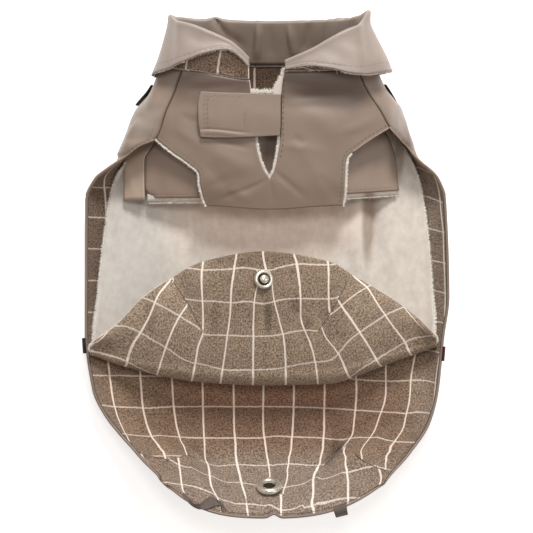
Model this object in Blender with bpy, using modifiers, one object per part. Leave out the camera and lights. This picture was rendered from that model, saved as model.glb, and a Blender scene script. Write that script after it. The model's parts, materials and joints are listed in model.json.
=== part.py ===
"""Dog raincoat with a snap-in fleece liner, lying open on its back.

Sizes are in millimetres. +X is the wearer's side that lies right when seen from above, +Y is the
head end and +Z points up, from the back of the coat to its belly. The coat rests on z = 0.
"""

from bisect import bisect_right
from collections import namedtuple
from math import cos, exp, pi, sin

import bmesh
import bpy
from mathutils import Vector

MM = 0.001
MIDDLE = (-0.2, 1.35)  # of the finished coat, which the part is centred on
GAP = 0.3  # between pieces that are sewn together

# Cloth and webbing, measured through the wall
SHELL_CLOTH = 1.2
CHECK_CLOTH = 1.0
CHEST_CLOTH = 1.6
BAND_CLOTH = 1.2
BAND_FLEECE = 1.4
LINER_FLEECE = 2.4
TAB_CLOTH = 1.6
WEBBING = 1.5
RIBBON = 1.0

# Back of the coat: what its rows have in common. Row is where the row meets the side hem.
ROW_AT = (149, 141, 128, 114, 101.5, 93.4, 90.5, 87.5, 84, 80, 76, 72, 64, 56, 48, 28, 2, -26, -54, -75,
          -92, -104, -116, -129, -140, -150, -159.5)
FLAT_SHARE = 0.42  # of a half row's columns, those on the flat back
FLAT_STEPS = 5
SIDE_STEPS = 6

Row = namedtuple("Row", "at base sag dip")  # base: height of the middle; sag: how much further
ROWS = (                                    # tailward it lies; dip: the neckline's fall in front
    Row(149, 5.8, 0, 7.0),
    Row(118, 0.6, 0, 1.5),
    Row(93, 0.6, 0, 0),
    Row(-92, 0.6, 0, 0),
    Row(-104, 0.6, 4, 0),
    Row(-116, 0.8, 8, 0),
    Row(-129, 6.0, 12, 0),
    Row(-140, 17.0, 16, 0),
    Row(-150, 32.0, 19, 0),
    Row(-159.5, 52.0, 24, 0),
)

# Side of the coat: flat reaches out to where the side starts to rise, out is the widest place,
# end and rise are where the cloth stops, at the chest seam, the armhole or the side hem.
Side = namedtuple("Side", "at flat out end rise")
LEFT = (
    Side(149, 50, 76.5, 61.5, None),
    Side(128, 60, 85, 67.3, None),
    Side(114, 70, 97, 73.2, None),
    Side(93.4, 82, 107, 80.6, None),
    Side(88, 85, 109.5, 93, 35),
    Side(80, 90, 113.3, 105, 31),
    Side(64, 100, 127.5, 127, 22),
    Side(48, 107, 133.9, 133.9, 16.5),
    Side(-50, 113, 134.2, 134.2, 15),
    Side(-92, 106, 128.8, 128.8, 17),
    Side(-116, 86, 116.3, 116.3, 20),
    Side(-140, 54, 95, 95, 28),
    Side(-159.5, 30, 73.5, 73.5, 38),
)
RIGHT = (
    Side(149, 52, 80, 67, None),
    Side(128, 62, 89.5, 75.3, None),
    Side(114, 70, 98.8, 84, None),
    Side(101.5, 78, 105.2, 90.8, None),
    Side(93.4, 83, 108.5, 98.4, 34),
    Side(80, 92, 115.5, 110.5, 28),
    Side(64, 103, 129, 127.5, 21),
    Side(48, 108, 133.4, 133.4, 17),
    Side(-23, 115, 136, 136, 15),
    Side(-52, 112, 132.2, 132.2, 15),
    Side(-92, 106, 128, 128, 17),
    Side(-116, 90, 121.6, 121.6, 20),
    Side(-140, 58, 105, 105, 28),
    Side(-159.5, 32, 85.5, 85.5, 38),
)
LAST_SEAM = {-1: 93.4, 1: 101.5}  # the row where each chest seam ends at its armhole

# Chest: height over the middle, and how much lower it lies 80 mm to the side
Crown = namedtuple("Crown", "at height")
CROWN = (Crown(150, 43), Crown(112, 43), Crown(93, 41.5), Crown(62, 38), Crown(41, 33))
CREST_HALF, SIDE_DROP = 80.0, 4.5
HALF_COLUMNS = 7

# Armhole and hem edges of the chest panel, with the middle of each row
ChestRow = namedtuple("ChestRow", "left_x left_y right_x right_y middle_y")
CHEST_HEAD = ((149, 149), (141, 141), (128, 130), (114, 120), (103, 110), (93.4, 101.5))
CHEST_MIDDLE = (138, 129, 118, 108, 99, 92)
CHEST_TAIL = (
    ChestRow(-64.5, 81.0, 75.5, 92.7, 82),
    ChestRow(-49.9, 69.4, 61.6, 83.3, 70),
    ChestRow(-48.8, 62.5, 58.0, 74.0, 61.9),
    ChestRow(-47.4, 52.0, 56.3, 58.0, 51),
    ChestRow(-43.6, 43.8, 55.2, 43.8, 41.1),
)
Slit = namedtuple("Slit", "at left right")
SLIT = (
    Slit(138, -12.2, 13.7),
    Slit(108, -10.0, 11.6),
    Slit(92, -7.7, 10.2),
    Slit(82, -6.0, 8.9),
    Slit(70, -1.8, 6.2),
    Slit(61.9, 2.9, 2.9),
)
NECK_SKEW = 2.9  # the right front's neck corner lies this much higher, the left's lower

# Strap over the slit
TAB_X, TAB_Y = (-49.6, 10.9), (93.7, 126.5)
TAB_STEPS = (8, 4)
TAB_LIFT = 1.6  # of its free end

# Inner band behind the chest panel
Band = namedtuple("Band", "at left right side_z drop")  # drop: its middle below the chest panel
BAND = (
    Band(115, -68, 72, 34.5, 1.9),
    Band(104, -88, 84, 21, 3.6),
    Band(90, -98, 92, 15, 4.2),
    Band(77, -105.6, 96, 12.8, 4.4),
    Band(50, -105.8, 99, 11.6, 4.4),
)
BAND_ROWS = (115, 104, 90, 77, 63, 50)
BAND_TILT = 6.0  # its hem's right end lies this much nearer the head
BAND_SEAM = 0.078  # share of its width where the narrow side piece is sewn on
BAND_STEPS = 16
FLEECE_PEEP = 2.6  # below the band's hem

# Liner: side edges while it lies on the lining
Edge = namedtuple("Edge", "at left right")
LINER_EDGE = (
    Edge(112, -80, 82),
    Edge(94, -96, 101),
    Edge(81, -106, 111),
    Edge(70, -113.5, 115),
    Edge(56, -117, 117.5),
    Edge(34, -120.5, 121),
    Edge(7, -125, 124),
    Edge(-23, -128.5, 127),
    Edge(-41, -131.5, 129.5),
    Edge(-62, -133, 129),
)
LINER_TOP = 112
LINER_LIFT = 3.4  # from the middle of the shell cloth to between the liner's two layers
LINER_COLUMNS = 24
LOWER_STEPS, FOLD_STEPS, FLAP_STEPS = 8, 5, 7
CHECK_FROM = 6  # the lower step from which the liner's reverse is built

# The liner's tail end, folded up: fold line, free edge and the radius of the fold
Flap = namedtuple("Flap", "at fold_y edge_y edge_z radius")
FLAP = (
    Flap(-127, -66, -56, 25, 4.6),
    Flap(-109, -72, -45, 24.5, 5.5),
    Flap(-88, -78, -24, 28, 8.5),
    Flap(-69, -82.5, -10.5, 31, 10),
    Flap(-45, -86, 2.6, 33, 11),
    Flap(-2, -88.2, 10, 34, 11.5),
    Flap(46, -87, 2.6, 33, 11),
    Flap(63, -82, -7.5, 31, 10),
    Flap(91, -71, -24.5, 28, 8),
    Flap(108, -65, -37, 25, 6),
    Flap(124, -60, -50, 25, 4.6),
)
FLAP_START, FLAP_END = (0.95, 0.42), (0.75, -0.34)  # how it leaves the fold, meets its edge
FLAP_SLANT = 0.975  # its edge is this much narrower than its fold

# Sewn darts of the flap, as (x, y) of their open and closed ends, and their furrow
DARTS = (((-69, -10), (-47, -43)), ((63, -7), (41, -46)))
DART_DEPTH, DART_WIDTH = 4.2, 7.5

# Soft ridges across the fleece: middle, half width and height of each
Ridge = namedtuple("Ridge", "x width height")
RIDGES = (Ridge(-46, 11, 1.6), Ridge(-8, 9, 1.2), Ridge(34, 8, 1.8), Ridge(70, 7, 3.4),
          Ridge(94, 8, 2.6))
RIDGE_Y, RIDGE_REACH = 34, 40

# Collar, around the neck from the left front to the right front: share of the way round, then
# height along the neck and distance outwards of its ridge and of its free edge, the radius of the
# fold and how far the free edge flares out
Turn = namedtuple("Turn", "at ridge_y ridge_out edge_y edge_out radius flare")
COLLAR = (
    Turn(0.00, 15, 7, 10.5, 9.5, 1.9, 0),
    Turn(0.045, 25.5, 9.5, 18.5, 12.5, 2.2, 0),
    Turn(0.10, 30.5, 10.5, 12, 13, 2.8, 0),
    Turn(0.15, 34.5, 7, 3.5, 11.5, 3.2, 0.1),
    Turn(0.19, 36, -3, -3, 8.5, 3.5, 0.2),
    Turn(0.23, 36.5, -9.5, -7.5, 6.5, 3.5, 0.35),
    Turn(0.28, 35.5, -12, -9, 6.5, 3.5, 0.35),
    Turn(0.34, 33, -12, -12, 4.6, 3.5, 0),
    Turn(0.50, 31.5, -9, -12, 4.6, 3.5, 0),
    Turn(0.66, 33, -12, -12, 4.6, 3.5, 0),
    Turn(0.72, 37, -12, -7, 7.5, 3.5, 0.35),
    Turn(0.77, 38.5, -9, -4.5, 10.5, 3.5, 0.35),
    Turn(0.81, 36.5, -2, -4, 11, 3.5, 0.2),
    Turn(0.85, 31, 7, -2.7, 11, 3.2, 0.1),
    Turn(0.90, 22.5, 9.5, 3.6, 11.5, 2.6, 0),
    Turn(0.95, 14, 8.5, 6.5, 10.5, 2.2, 0),
    Turn(1.00, 7.5, 5, 3.5, 7.2, 1.9, 0),
)
COLLAR_LAYER = 0.65  # each layer's middle from the seam line between them
COLLAR_CLOTH = 1.0
COLLAR_START = 0.8  # clear of the neck edge that it is sewn to
FOLD_ANGLES = (0, 45, 90, 135, 180)
STAND_STEPS, FALL_STEPS = 3, 4
COLLAR_WAVE, COLLAR_WAVES = 0.9, 9  # soft folds along its ridge

# Press stud: radius and height down each turned profile, from the axis on top
STUD = ((0, 4.6), (1.9, 4.2), (2.9, 3.2), (2.5, 2.2), (2.5, 1.1), (4.9, 1.1), (5.5, 2.0),
        (6.6, 1.8), (7.1, 1.0), (7.1, 0), (0, 0))
SOCKET = ((0, 0.9), (4.5, 0.9), (4.9, 2.3), (6.2, 3.1), (7.8, 2.9), (9.0, 1.7), (9.3, 0), (0, 0))
TURNED_STEPS = 24
STUD_AT = (-2.2, -10.6)  # x and y
SOCKET_AT = (-147.4, 0.02)  # row, and column, on the shell
SOCKET_LIFT = 1.2  # its rim rests in the hollow of the rump

# Loops: row and column on the shell, length along the hem or side, width, stand-out
Loop = namedtuple("Loop", "row column length width out")
SHOULDER_LOOPS = {"left": Loop(125.5, -0.68, 16, 9, 0.9), "right": Loop(126.5, 0.68, 15, 9, 0.9)}
SIDE_LOOPS = {"left": Loop(-59.5, -1, 11.5, 3.4, 0), "right": Loop(-65.5, 1, 11, 2.6, 0)}
HEM_LOOPS = {"left": Loop(-159.5, -0.52, 23, 10, 1.6), "right": Loop(-159.5, 0.62, 10.5, 8, 1.6)}

# Base colours, as sRGB values from 0 to 1, roughness and metallic
FINISHES = {
    "taupe": ((0.59, 0.53, 0.48), 0.6, 0.0),
    "check": ((0.47, 0.42, 0.37), 0.9, 0.0),
    "fleece": ((0.84, 0.80, 0.76), 1.0, 0.0),
    "nickel": ((0.80, 0.79, 0.77), 0.25, 1.0),
    "black": ((0.08, 0.07, 0.08), 0.8, 0.0),
    "ribbon": ((0.38, 0.33, 0.30), 0.7, 0.0),
}


def track(rows, column):
    """A smooth line without overshoot through one column of a table, read by its first column."""
    rows = sorted(rows, key=lambda row: row.at)
    at = [row.at for row in rows]
    value = [getattr(row, column) for row in rows]
    step = [b - a for a, b in zip(at, at[1:])]
    slope = [(b - a) / s for a, b, s in zip(value, value[1:], step)]
    inner = [2 * m * n / (m + n) if m * n > 0 else 0.0 for m, n in zip(slope, slope[1:])]
    tangent = [slope[0], *inner, slope[-1]]

    def read(x):
        i = min(max(bisect_right(at, x) - 1, 0), len(step) - 1)
        t = min(max((x - at[i]) / step[i], 0.0), 1.0)
        rise = step[i] * (t * (1 - t) ** 2 * tangent[i] - t * t * (1 - t) * tangent[i + 1])
        return value[i] + (value[i + 1] - value[i]) * t * t * (3 - 2 * t) + rise

    return read


def bezier(a, b, c, d, t):
    s = 1 - t
    return a * s**3 + 3 * b * s * s * t + 3 * c * s * t * t + d * t**3


def lerp(a, b, t):
    return a + (b - a) * t


crown = track(CROWN, "height")


def chest_height(x, y):
    return crown(y) - SIDE_DROP * (x / CREST_HALF) ** 2


base, sag, dip = (track(ROWS, column) for column in ("base", "sag", "dip"))


def side_tracks(table):
    """The table with the rise at the chest seam worked out, as one line for each column."""
    rows = [
        row if row.rise is not None else row._replace(rise=chest_height(row.end, row.at))
        for row in table
    ]
    return {column: track(rows, column) for column in ("flat", "out", "end", "rise")}


SIDES = {-1: side_tracks(LEFT), 1: side_tracks(RIGHT)}


def shell_point(row, column):
    """Middle of the shell cloth. Column runs from -1, the left edge, to 1, the right edge."""
    side = -1 if column < 0 else 1
    read = SIDES[side]
    flat, out, end, rise = (read[name](row) for name in ("flat", "out", "end", "rise"))
    height = base(row)
    reach = abs(column) / FLAT_SHARE
    if reach <= 1:
        x, z, turn = flat * reach, height, 0.0
    else:
        turn = (reach - 1) / (1 / FLAT_SHARE - 1)
        wrap = min(max((out - end) / 9, 0.0), 1.0)  # 1 where the cloth goes on over the shoulder
        bulge = (out - (flat + end) / 8) / 0.75
        open_x = lerp(flat, out, 0.75)
        x = bezier(flat, lerp(lerp(flat, out, 0.45), bulge, wrap), lerp(open_x, bulge, wrap), end, turn)
        z = bezier(height, height, lerp(lerp(height, rise, 0.25), rise, wrap), rise, turn)
    across = min(abs(x) / out, 1.0)
    y = row - sag(row) * (1 - across**2.8) - dip(row) * turn**2
    return Vector((side * x, y, z))


def shell_raised(row, column, height):
    """A point over the inner face of the shell's middle, at right angles to it."""
    step_c, step_r = 0.004, 0.5
    across = shell_point(row, column + step_c) - shell_point(row, column - step_c)
    along = shell_point(row + step_r, column) - shell_point(row - step_r, column)
    return shell_point(row, column) + across.cross(along).normalized() * height


def shell_column(row, x):
    """The column whose point lies at x, on the back or low on the side."""
    side = -1 if x < 0 else 1
    low, high = 0.0, FLAT_SHARE + 0.5 * (1 - FLAT_SHARE)
    if SIDES[side]["out"](row) - SIDES[side]["end"](row) < 9:
        high = 1.0
    for _ in range(24):
        middle = (low + high) / 2
        if abs(shell_point(row, side * middle).x) < abs(x):
            low = middle
        else:
            high = middle
    return side * low


def shell_columns():
    flat = [FLAT_SHARE * i / FLAT_STEPS for i in range(FLAT_STEPS + 1)]
    rising = [lerp(FLAT_SHARE, 1, i / SIDE_STEPS) for i in range(1, SIDE_STEPS + 1)]
    half = flat + rising
    return [-c for c in reversed(half[1:])] + half


def normal_at(grid, i, j):
    """The direction in which a grid's face looks at one of its points."""
    last_row, last_column = len(grid) - 1, len(grid[0]) - 1
    along = grid[min(i + 1, last_row)][j] - grid[max(i - 1, 0)][j]
    across = grid[i][min(j + 1, last_column)] - grid[i][max(j - 1, 0)]
    return along.cross(across).normalized()


def moved(grid, distance):
    """The grid moved out from its face."""
    return [
        [point + normal_at(grid, i, j) * distance for j, point in enumerate(row)]
        for i, row in enumerate(grid)
    ]


def drawn_in(grid, first=0.0, last=0.0, left=0.0, right=0.0):
    """The grid with its border points drawn towards their neighbours."""
    grid = [list(row) for row in grid]

    def pull(point, towards, distance):
        return point + (towards - point).normalized() * distance

    if first:
        grid[0] = [pull(a, b, first) for a, b in zip(grid[0], grid[1])]
    if last:
        grid[-1] = [pull(a, b, last) for a, b in zip(grid[-1], grid[-2])]
    for row in grid:
        if left:
            row[0] = pull(row[0], row[1], left)
        if right:
            row[-1] = pull(row[-1], row[-2], right)
    return grid


def material(name):
    colour, roughness, metallic = FINISHES[name]
    made = bpy.data.materials.get(name) or bpy.data.materials.new(name)
    made.use_nodes = True
    shader = made.node_tree.nodes["Principled BSDF"]
    linear = [((c + 0.055) / 1.055) ** 2.4 for c in colour]
    shader.inputs["Base Color"].default_value = (*linear, 1)
    shader.inputs["Roughness"].default_value = roughness
    shader.inputs["Metallic"].default_value = metallic
    return made


def new_object(name, bm, finish):
    mesh = bpy.data.meshes.new(name)
    bm.to_mesh(mesh)
    bm.free()
    mesh.materials.append(material(finish))
    made = bpy.data.objects.new(name, mesh)
    coat.objects.link(made)
    made.parent = centre
    return made


def cloth(name, grids, thickness, finish):
    """A wall of cloth around one or more grids of points, which are joined where they meet."""
    bm = bmesh.new()
    for grid in grids:
        rows = [[bm.verts.new(point * MM) for point in row] for row in grid]
        for low, high in zip(rows, rows[1:]):
            for a, b, c, d in zip(low, low[1:], high[1:], high):
                bm.faces.new((d, c, b))
                bm.faces.new((d, b, a))
    bmesh.ops.remove_doubles(bm, verts=bm.verts, dist=0.00001)
    made = new_object(name, bm, finish)
    made.data.shade_smooth()
    wall = made.modifiers.new("wall", "SOLIDIFY")
    wall.thickness = thickness * MM
    wall.offset = 0
    return made


def level_corner(grid, j, inwards):
    """The tail corner at column j, brought into the plane of the three points around it."""
    beside, above, across = grid[-1][j + inwards], grid[-2][j], grid[-2][j + inwards]
    normal = (beside - across).cross(above - across).normalized()
    grid[-1][j] = grid[-1][j] - normal * normal.dot(grid[-1][j] - across)


def make_shell():
    grid = [[shell_point(row, column) for column in shell_columns()] for row in ROW_AT]
    level_corner(grid, 0, 1)
    level_corner(grid, -1, -1)
    cloth("shell_back", [grid], SHELL_CLOTH, "taupe")
    lift = SHELL_CLOTH / 2 + GAP + CHECK_CLOTH / 2
    lining = drawn_in(moved(grid, lift), first=0.6, last=2, left=2, right=1.5)
    lining[-1][0] = lerp(lining[-2][0], lining[-1][1], 0.5)
    lining[-1][-1] = lerp(lining[-2][-1], lining[-1][-2], 0.5)
    cloth("shell_lining", [lining], CHECK_CLOTH, "check")
    return grid


def slit_point(side, middle_y, index):
    column = "left" if side < 0 else "right"
    x = track(SLIT, column)(middle_y)
    y = middle_y + side * NECK_SKEW * max(1 - index / 4, 0.0)
    return x, y


def chest_grids(shell_grid):
    """The left and the right half of the chest panel, each from its seam to the slit."""
    grids = []
    for side in (-1, 1):
        grid = []
        for index, (rows, middle_y) in enumerate(zip(CHEST_HEAD, CHEST_MIDDLE)):
            seam = shell_point(rows[0] if side < 0 else rows[1], side)
            grid.append(chest_row(seam.x - side * (GAP + 0.3), seam.y, side, middle_y, index))
        for row in CHEST_TAIL:
            x, y = (row.left_x, row.left_y) if side < 0 else (row.right_x, row.right_y)
            grid.append(chest_row(x, y, side, row.middle_y, len(CHEST_HEAD)))
        grids.append(grid if side < 0 else [row[::-1] for row in grid])
    return grids


def chest_row(edge_x, edge_y, side, middle_y, index):
    slit_x, slit_y = slit_point(side, middle_y, index)
    row = []
    for i in range(HALF_COLUMNS):
        t = i / (HALF_COLUMNS - 1)
        x = lerp(edge_x, slit_x, t)
        y = lerp(edge_y, slit_y, t * t * (3 - 2 * t))
        row.append(Vector((x, y, chest_height(x, y))))
    return row


def make_tab():
    grid = []
    for i in range(TAB_STEPS[1] + 1):
        y = lerp(TAB_Y[1], TAB_Y[0], i / TAB_STEPS[1])
        row = []
        for j in range(TAB_STEPS[0] + 1):
            x = lerp(*TAB_X, j / TAB_STEPS[0])
            lift = CHEST_CLOTH / 2 + GAP + TAB_CLOTH / 2 + 0.2
            free = TAB_LIFT * (1 - j / TAB_STEPS[0]) ** 3
            row.append(Vector((x, y, chest_height(x, y) + lift + free)))
        grid.append(row)
    cloth("chest_tab", [grid], TAB_CLOTH, "taupe")


band_read = {column: track(BAND, column) for column in ("left", "right", "side_z", "drop")}


def band_point(y, share):
    left, right = band_read["left"](y), band_read["right"](y)
    x = lerp(left, right, share)
    y += BAND_TILT * max(x / right, 0) ** 1.5 * (BAND[0].at - y) / (BAND[0].at - BAND[-1].at)
    top = chest_height(x, y) - band_read["drop"](y)
    bend = abs(2 * share - 1) ** 2.4
    return Vector((x, y, lerp(top, band_read["side_z"](y), bend)))


def make_band():
    def grid(first, last, steps, rows):
        return [[band_point(y, lerp(first, last, i / steps)) for i in range(steps + 1)] for y in rows]

    seam = (GAP + 0.1) / 2 / (BAND[-1].right - BAND[-1].left)
    main = grid(BAND_SEAM + seam, 1, BAND_STEPS, BAND_ROWS)
    cloth("inner_band", [main], BAND_CLOTH, "taupe")
    narrow = grid(0, BAND_SEAM - seam, 2, BAND_ROWS[1:])
    cloth("inner_band_side", [drawn_in(narrow, last=-1.2)], BAND_CLOTH, "taupe")
    lift = BAND_CLOTH / 2 + GAP + BAND_FLEECE / 2
    backing = moved(grid(BAND_SEAM + seam, 1, BAND_STEPS, BAND_ROWS[1:]), -lift)
    cloth("band_fleece", [drawn_in(backing, last=-FLEECE_PEEP, left=1.5, right=1.5)],
          BAND_FLEECE, "fleece")


flap_read = {
    column: track(FLAP, column) for column in ("fold_y", "edge_y", "edge_z", "radius")
}
liner_left, liner_right = track(LINER_EDGE, "left"), track(LINER_EDGE, "right")


def ridges(x, y):
    """How far the fleece stands off the lining in its soft folds."""
    fade = exp(-(((y - RIDGE_Y) / RIDGE_REACH) ** 4))
    return fade * sum(r.height * exp(-(((x - r.x) / r.width) ** 2)) for r in RIDGES)


def dart_furrow(x, y):
    """How deep the cloth lies beside a dart, deepest at its open end."""
    depth = 0.0
    for start, end in DARTS:
        ax, ay = end[0] - start[0], end[1] - start[1]
        along = ((x - start[0]) * ax + (y - start[1]) * ay) / (ax * ax + ay * ay)
        t = min(max(along, -0.3), 1.0)
        off = ((x - start[0] - ax * t) ** 2 + (y - start[1] - ay * t) ** 2) ** 0.5
        depth += DART_DEPTH * (1 - 0.75 * max(t, 0)) * exp(-((off / DART_WIDTH) ** 2))
    return depth


def liner_column(share):
    """The liner's middle surface down one column: over the lining, round the fold, up the flap."""
    fold_x = lerp(FLAP[0].at, FLAP[-1].at, share)
    fold_y, edge_y, edge_z, radius = (flap_read[name](fold_x) for name in flap_read)
    points = []
    for i in range(LOWER_STEPS + 1):
        y = lerp(LINER_TOP, fold_y + radius, i / LOWER_STEPS)
        x = lerp(liner_left(y), liner_right(y), share)
        lift = LINER_LIFT + ridges(x, y)
        points.append(shell_raised(y, shell_column(y, x), lift))
    centre = points[-1] + Vector((0, 0, radius))
    for i in range(1, FOLD_STEPS + 1):
        angle = pi * i / FOLD_STEPS
        points.append(centre + Vector((0, -sin(angle), -cos(angle))) * radius)
    top = points[-1]
    edge = Vector((top.x * FLAP_SLANT, edge_y, edge_z))
    length = (edge - top).length
    leave, meet = Vector((0, *FLAP_START)) * length, Vector((0, *FLAP_END)) * length
    for i in range(1, FLAP_STEPS + 1):
        t = i / FLAP_STEPS
        point = bezier(top, top + leave / 3, edge - meet / 3, edge, t)
        point.z -= dart_furrow(point.x, point.y) * min(1.5 * t, 1)
        points.append(point)
    return points


def make_liner():
    columns = [liner_column(i / LINER_COLUMNS) for i in range(LINER_COLUMNS + 1)]
    grid = [list(row) for row in zip(*columns)]
    fleece = moved(grid, GAP / 2 + LINER_FLEECE / 2)
    cloth("liner_fleece", [drawn_in(fleece, last=1.2)], LINER_FLEECE, "fleece")
    check = moved(grid[CHECK_FROM:], -(GAP / 2 + CHECK_CLOTH / 2))
    cloth("liner_check", [check], CHECK_CLOTH, "check")


def neck_ring(shell_grid, chest):
    """Points around the neck edge, from the left front's slit to the right front's."""
    left, right = chest
    front = left[0][::-1][:-1]
    return [*front, *shell_grid[0], *right[0][::-1][1:]]


def collar_profile(turn):
    """Height and distance outwards, from the neck seam over the ridge to the free edge."""
    ridge, edge = Vector((turn.ridge_y, turn.ridge_out)), Vector((turn.edge_y, turn.edge_out))
    start = Vector((COLLAR_START, 0))
    axis = (ridge - (start + edge) / 2).normalized()
    stand = Vector((axis.y, -axis.x))  # from the fall to the stand
    centre = ridge - axis * turn.radius
    arc = [
        centre + (stand * cos(a * pi / 180) + axis * sin(a * pi / 180)) * turn.radius
        for a in FOLD_ANGLES
    ]
    rise = [lerp(start, arc[0], i / STAND_STEPS) for i in range(STAND_STEPS)]
    third = (edge - arc[-1]).length / 3
    leave, meet = arc[-1] - axis * third, edge + Vector((1, -turn.flare)).normalized() * third
    fall = [bezier(arc[-1], leave, meet, edge, i / FALL_STEPS) for i in range(1, FALL_STEPS + 1)]
    return rise + arc + fall


def make_collar(ring):
    read = {name: track(COLLAR, name) for name in Turn._fields[1:]}
    lengths = [0.0]
    for a, b in zip(ring, ring[1:]):
        lengths.append(lengths[-1] + (b - a).length)
    grid = []
    for i, (point, length) in enumerate(zip(ring, lengths)):
        share = length / lengths[-1]
        turn = Turn(share, *(read[name](share) for name in Turn._fields[1:]))
        wave = COLLAR_WAVE * sin(share * COLLAR_WAVES * 2 * pi)
        turn = turn._replace(ridge_out=turn.ridge_out + wave)
        ahead = ring[min(i + 1, len(ring) - 1)] - ring[max(i - 1, 0)]
        outwards = Vector((ahead.z, 0, -ahead.x)).normalized()
        grid.append([
            point + Vector((0, along, 0)) + outwards * out for along, out in collar_profile(turn)
        ])
    return grid


def turned(name, profile, finish, place, normal):
    """A round metal piece: its profile turned about the axis, stood on a face."""
    bm = bmesh.new()
    points = [bm.verts.new((radius * MM, 0, height * MM)) for radius, height in profile]
    for a, b in zip(points, points[1:]):
        bm.edges.new((a, b))
    made = new_object(name, bm, finish)
    screw = made.modifiers.new("turn", "SCREW")
    screw.steps = screw.render_steps = TURNED_STEPS
    screw.use_merge_vertices = True
    screw.merge_threshold = 0.00001
    made.location = place * MM
    made.rotation_mode = "QUATERNION"
    made.rotation_quaternion = normal.to_track_quat("Z", "Y")
    return made


def make_stud():
    """The stud half, on the flap's checked face."""
    x, y = STUD_AT
    column = liner_column((x - FLAP[0].at) / (FLAP[-1].at - FLAP[0].at))
    a, b = next(pair for pair in zip(column[-FLAP_STEPS:], column[1 - FLAP_STEPS:]) if pair[1].y > y)
    normal = Vector((0, a.z - b.z, b.y - a.y)).normalized()
    point = lerp(a, b, (y - a.y) / (b.y - a.y)) + normal * (GAP / 2 + CHECK_CLOTH + GAP + 0.1)
    turned("snap_stud", STUD, "nickel", point, normal)


def make_socket():
    """The socket half, on the lining of the rump."""
    height = SHELL_CLOTH / 2 + GAP + CHECK_CLOTH + SOCKET_LIFT
    point = shell_raised(*SOCKET_AT, height)
    normal = point - shell_point(*SOCKET_AT)
    turned("snap_socket", SOCKET, "nickel", point, normal.normalized())


def loop_grid(path, across, width):
    half = across.normalized() * width / 2
    return [[point - half, point, point + half] for point in path]


def make_shoulder_loop(name, loop):
    """A short length of webbing bowed out from the side, along the coat."""
    steps = 8
    path = []
    for i in range(steps + 1):
        t = i / steps
        row = loop.row + loop.length * (0.5 - t)
        bow = SHELL_CLOTH / 2 + GAP + WEBBING / 2 + 0.3 + loop.out * sin(pi * t)
        path.append(shell_raised(row, loop.column, -bow))
    across = shell_point(loop.row, loop.column + 0.05) - shell_point(loop.row, loop.column - 0.05)
    cloth(name, [loop_grid(path, across, loop.width)], WEBBING, "black")


def make_side_loop(name, loop):
    """A folded tape sewn to the side hem, standing out from it."""
    edge, inside = shell_point(loop.row, loop.column), shell_point(loop.row, loop.column * 0.97)
    along = shell_point(loop.row + 1, loop.column) - shell_point(loop.row - 1, loop.column)
    outwards = (edge - inside).normalized()
    start = edge + outwards * (GAP + 0.4)
    path = [start + outwards * (loop.width * i / 3) for i in range(4)]
    cloth(name, [loop_grid(path, along, loop.length)], WEBBING, "black")


def make_hem_loop(name, loop):
    """A tape lying on the lining across the tail hem, and a little beyond it."""
    lift = SHELL_CLOTH / 2 + GAP + CHECK_CLOTH + GAP + RIBBON / 2 + 0.2
    row = loop.row
    edge = shell_raised(row, loop.column, lift)
    per_row = (shell_raised(row + 1, loop.column, lift) - edge).length
    path = [
        shell_raised(row + loop.width * i / 3 / per_row, loop.column, lift) for i in range(3, -1, -1)
    ]
    path.append(edge + (edge - path[-2]).normalized() * loop.out)
    along = shell_point(row, loop.column + 0.02) - shell_point(row, loop.column - 0.02)
    cloth(name, [loop_grid(path, along, loop.length)], RIBBON, "ribbon")


for old in list(bpy.data.objects):
    bpy.data.objects.remove(old)
coat = bpy.data.collections.new("dog_raincoat")
bpy.context.scene.collection.children.link(coat)
centre = bpy.data.objects.new("coat_centre", None)
centre.location = (-MIDDLE[0] * MM, -MIDDLE[1] * MM, 0)
coat.objects.link(centre)

shell_grid = make_shell()
chest = chest_grids(shell_grid)
cloth("chest_panel", chest, CHEST_CLOTH, "taupe")
make_tab()
make_band()
make_liner()
collar_grid = make_collar(neck_ring(shell_grid, chest))
cloth("collar_upper", [moved(collar_grid, COLLAR_LAYER)], COLLAR_CLOTH, "taupe")
cloth("collar_under", [drawn_in(moved(collar_grid, -COLLAR_LAYER), right=0.8)],
      COLLAR_CLOTH, "check")
make_stud()
make_socket()
for side_name, side_loop in SHOULDER_LOOPS.items():
    make_shoulder_loop(f"shoulder_loop_{side_name}", side_loop)
for side_name, side_loop in SIDE_LOOPS.items():
    make_side_loop(f"side_loop_{side_name}", side_loop)
for side_name, side_loop in HEM_LOOPS.items():
    make_hem_loop(f"hem_loop_{side_name}", side_loop)
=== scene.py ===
import json
from math import cos, hypot, pi, radians, sin

import bmesh
import bpy
import numpy as np
from mathutils import Matrix, Vector

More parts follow.
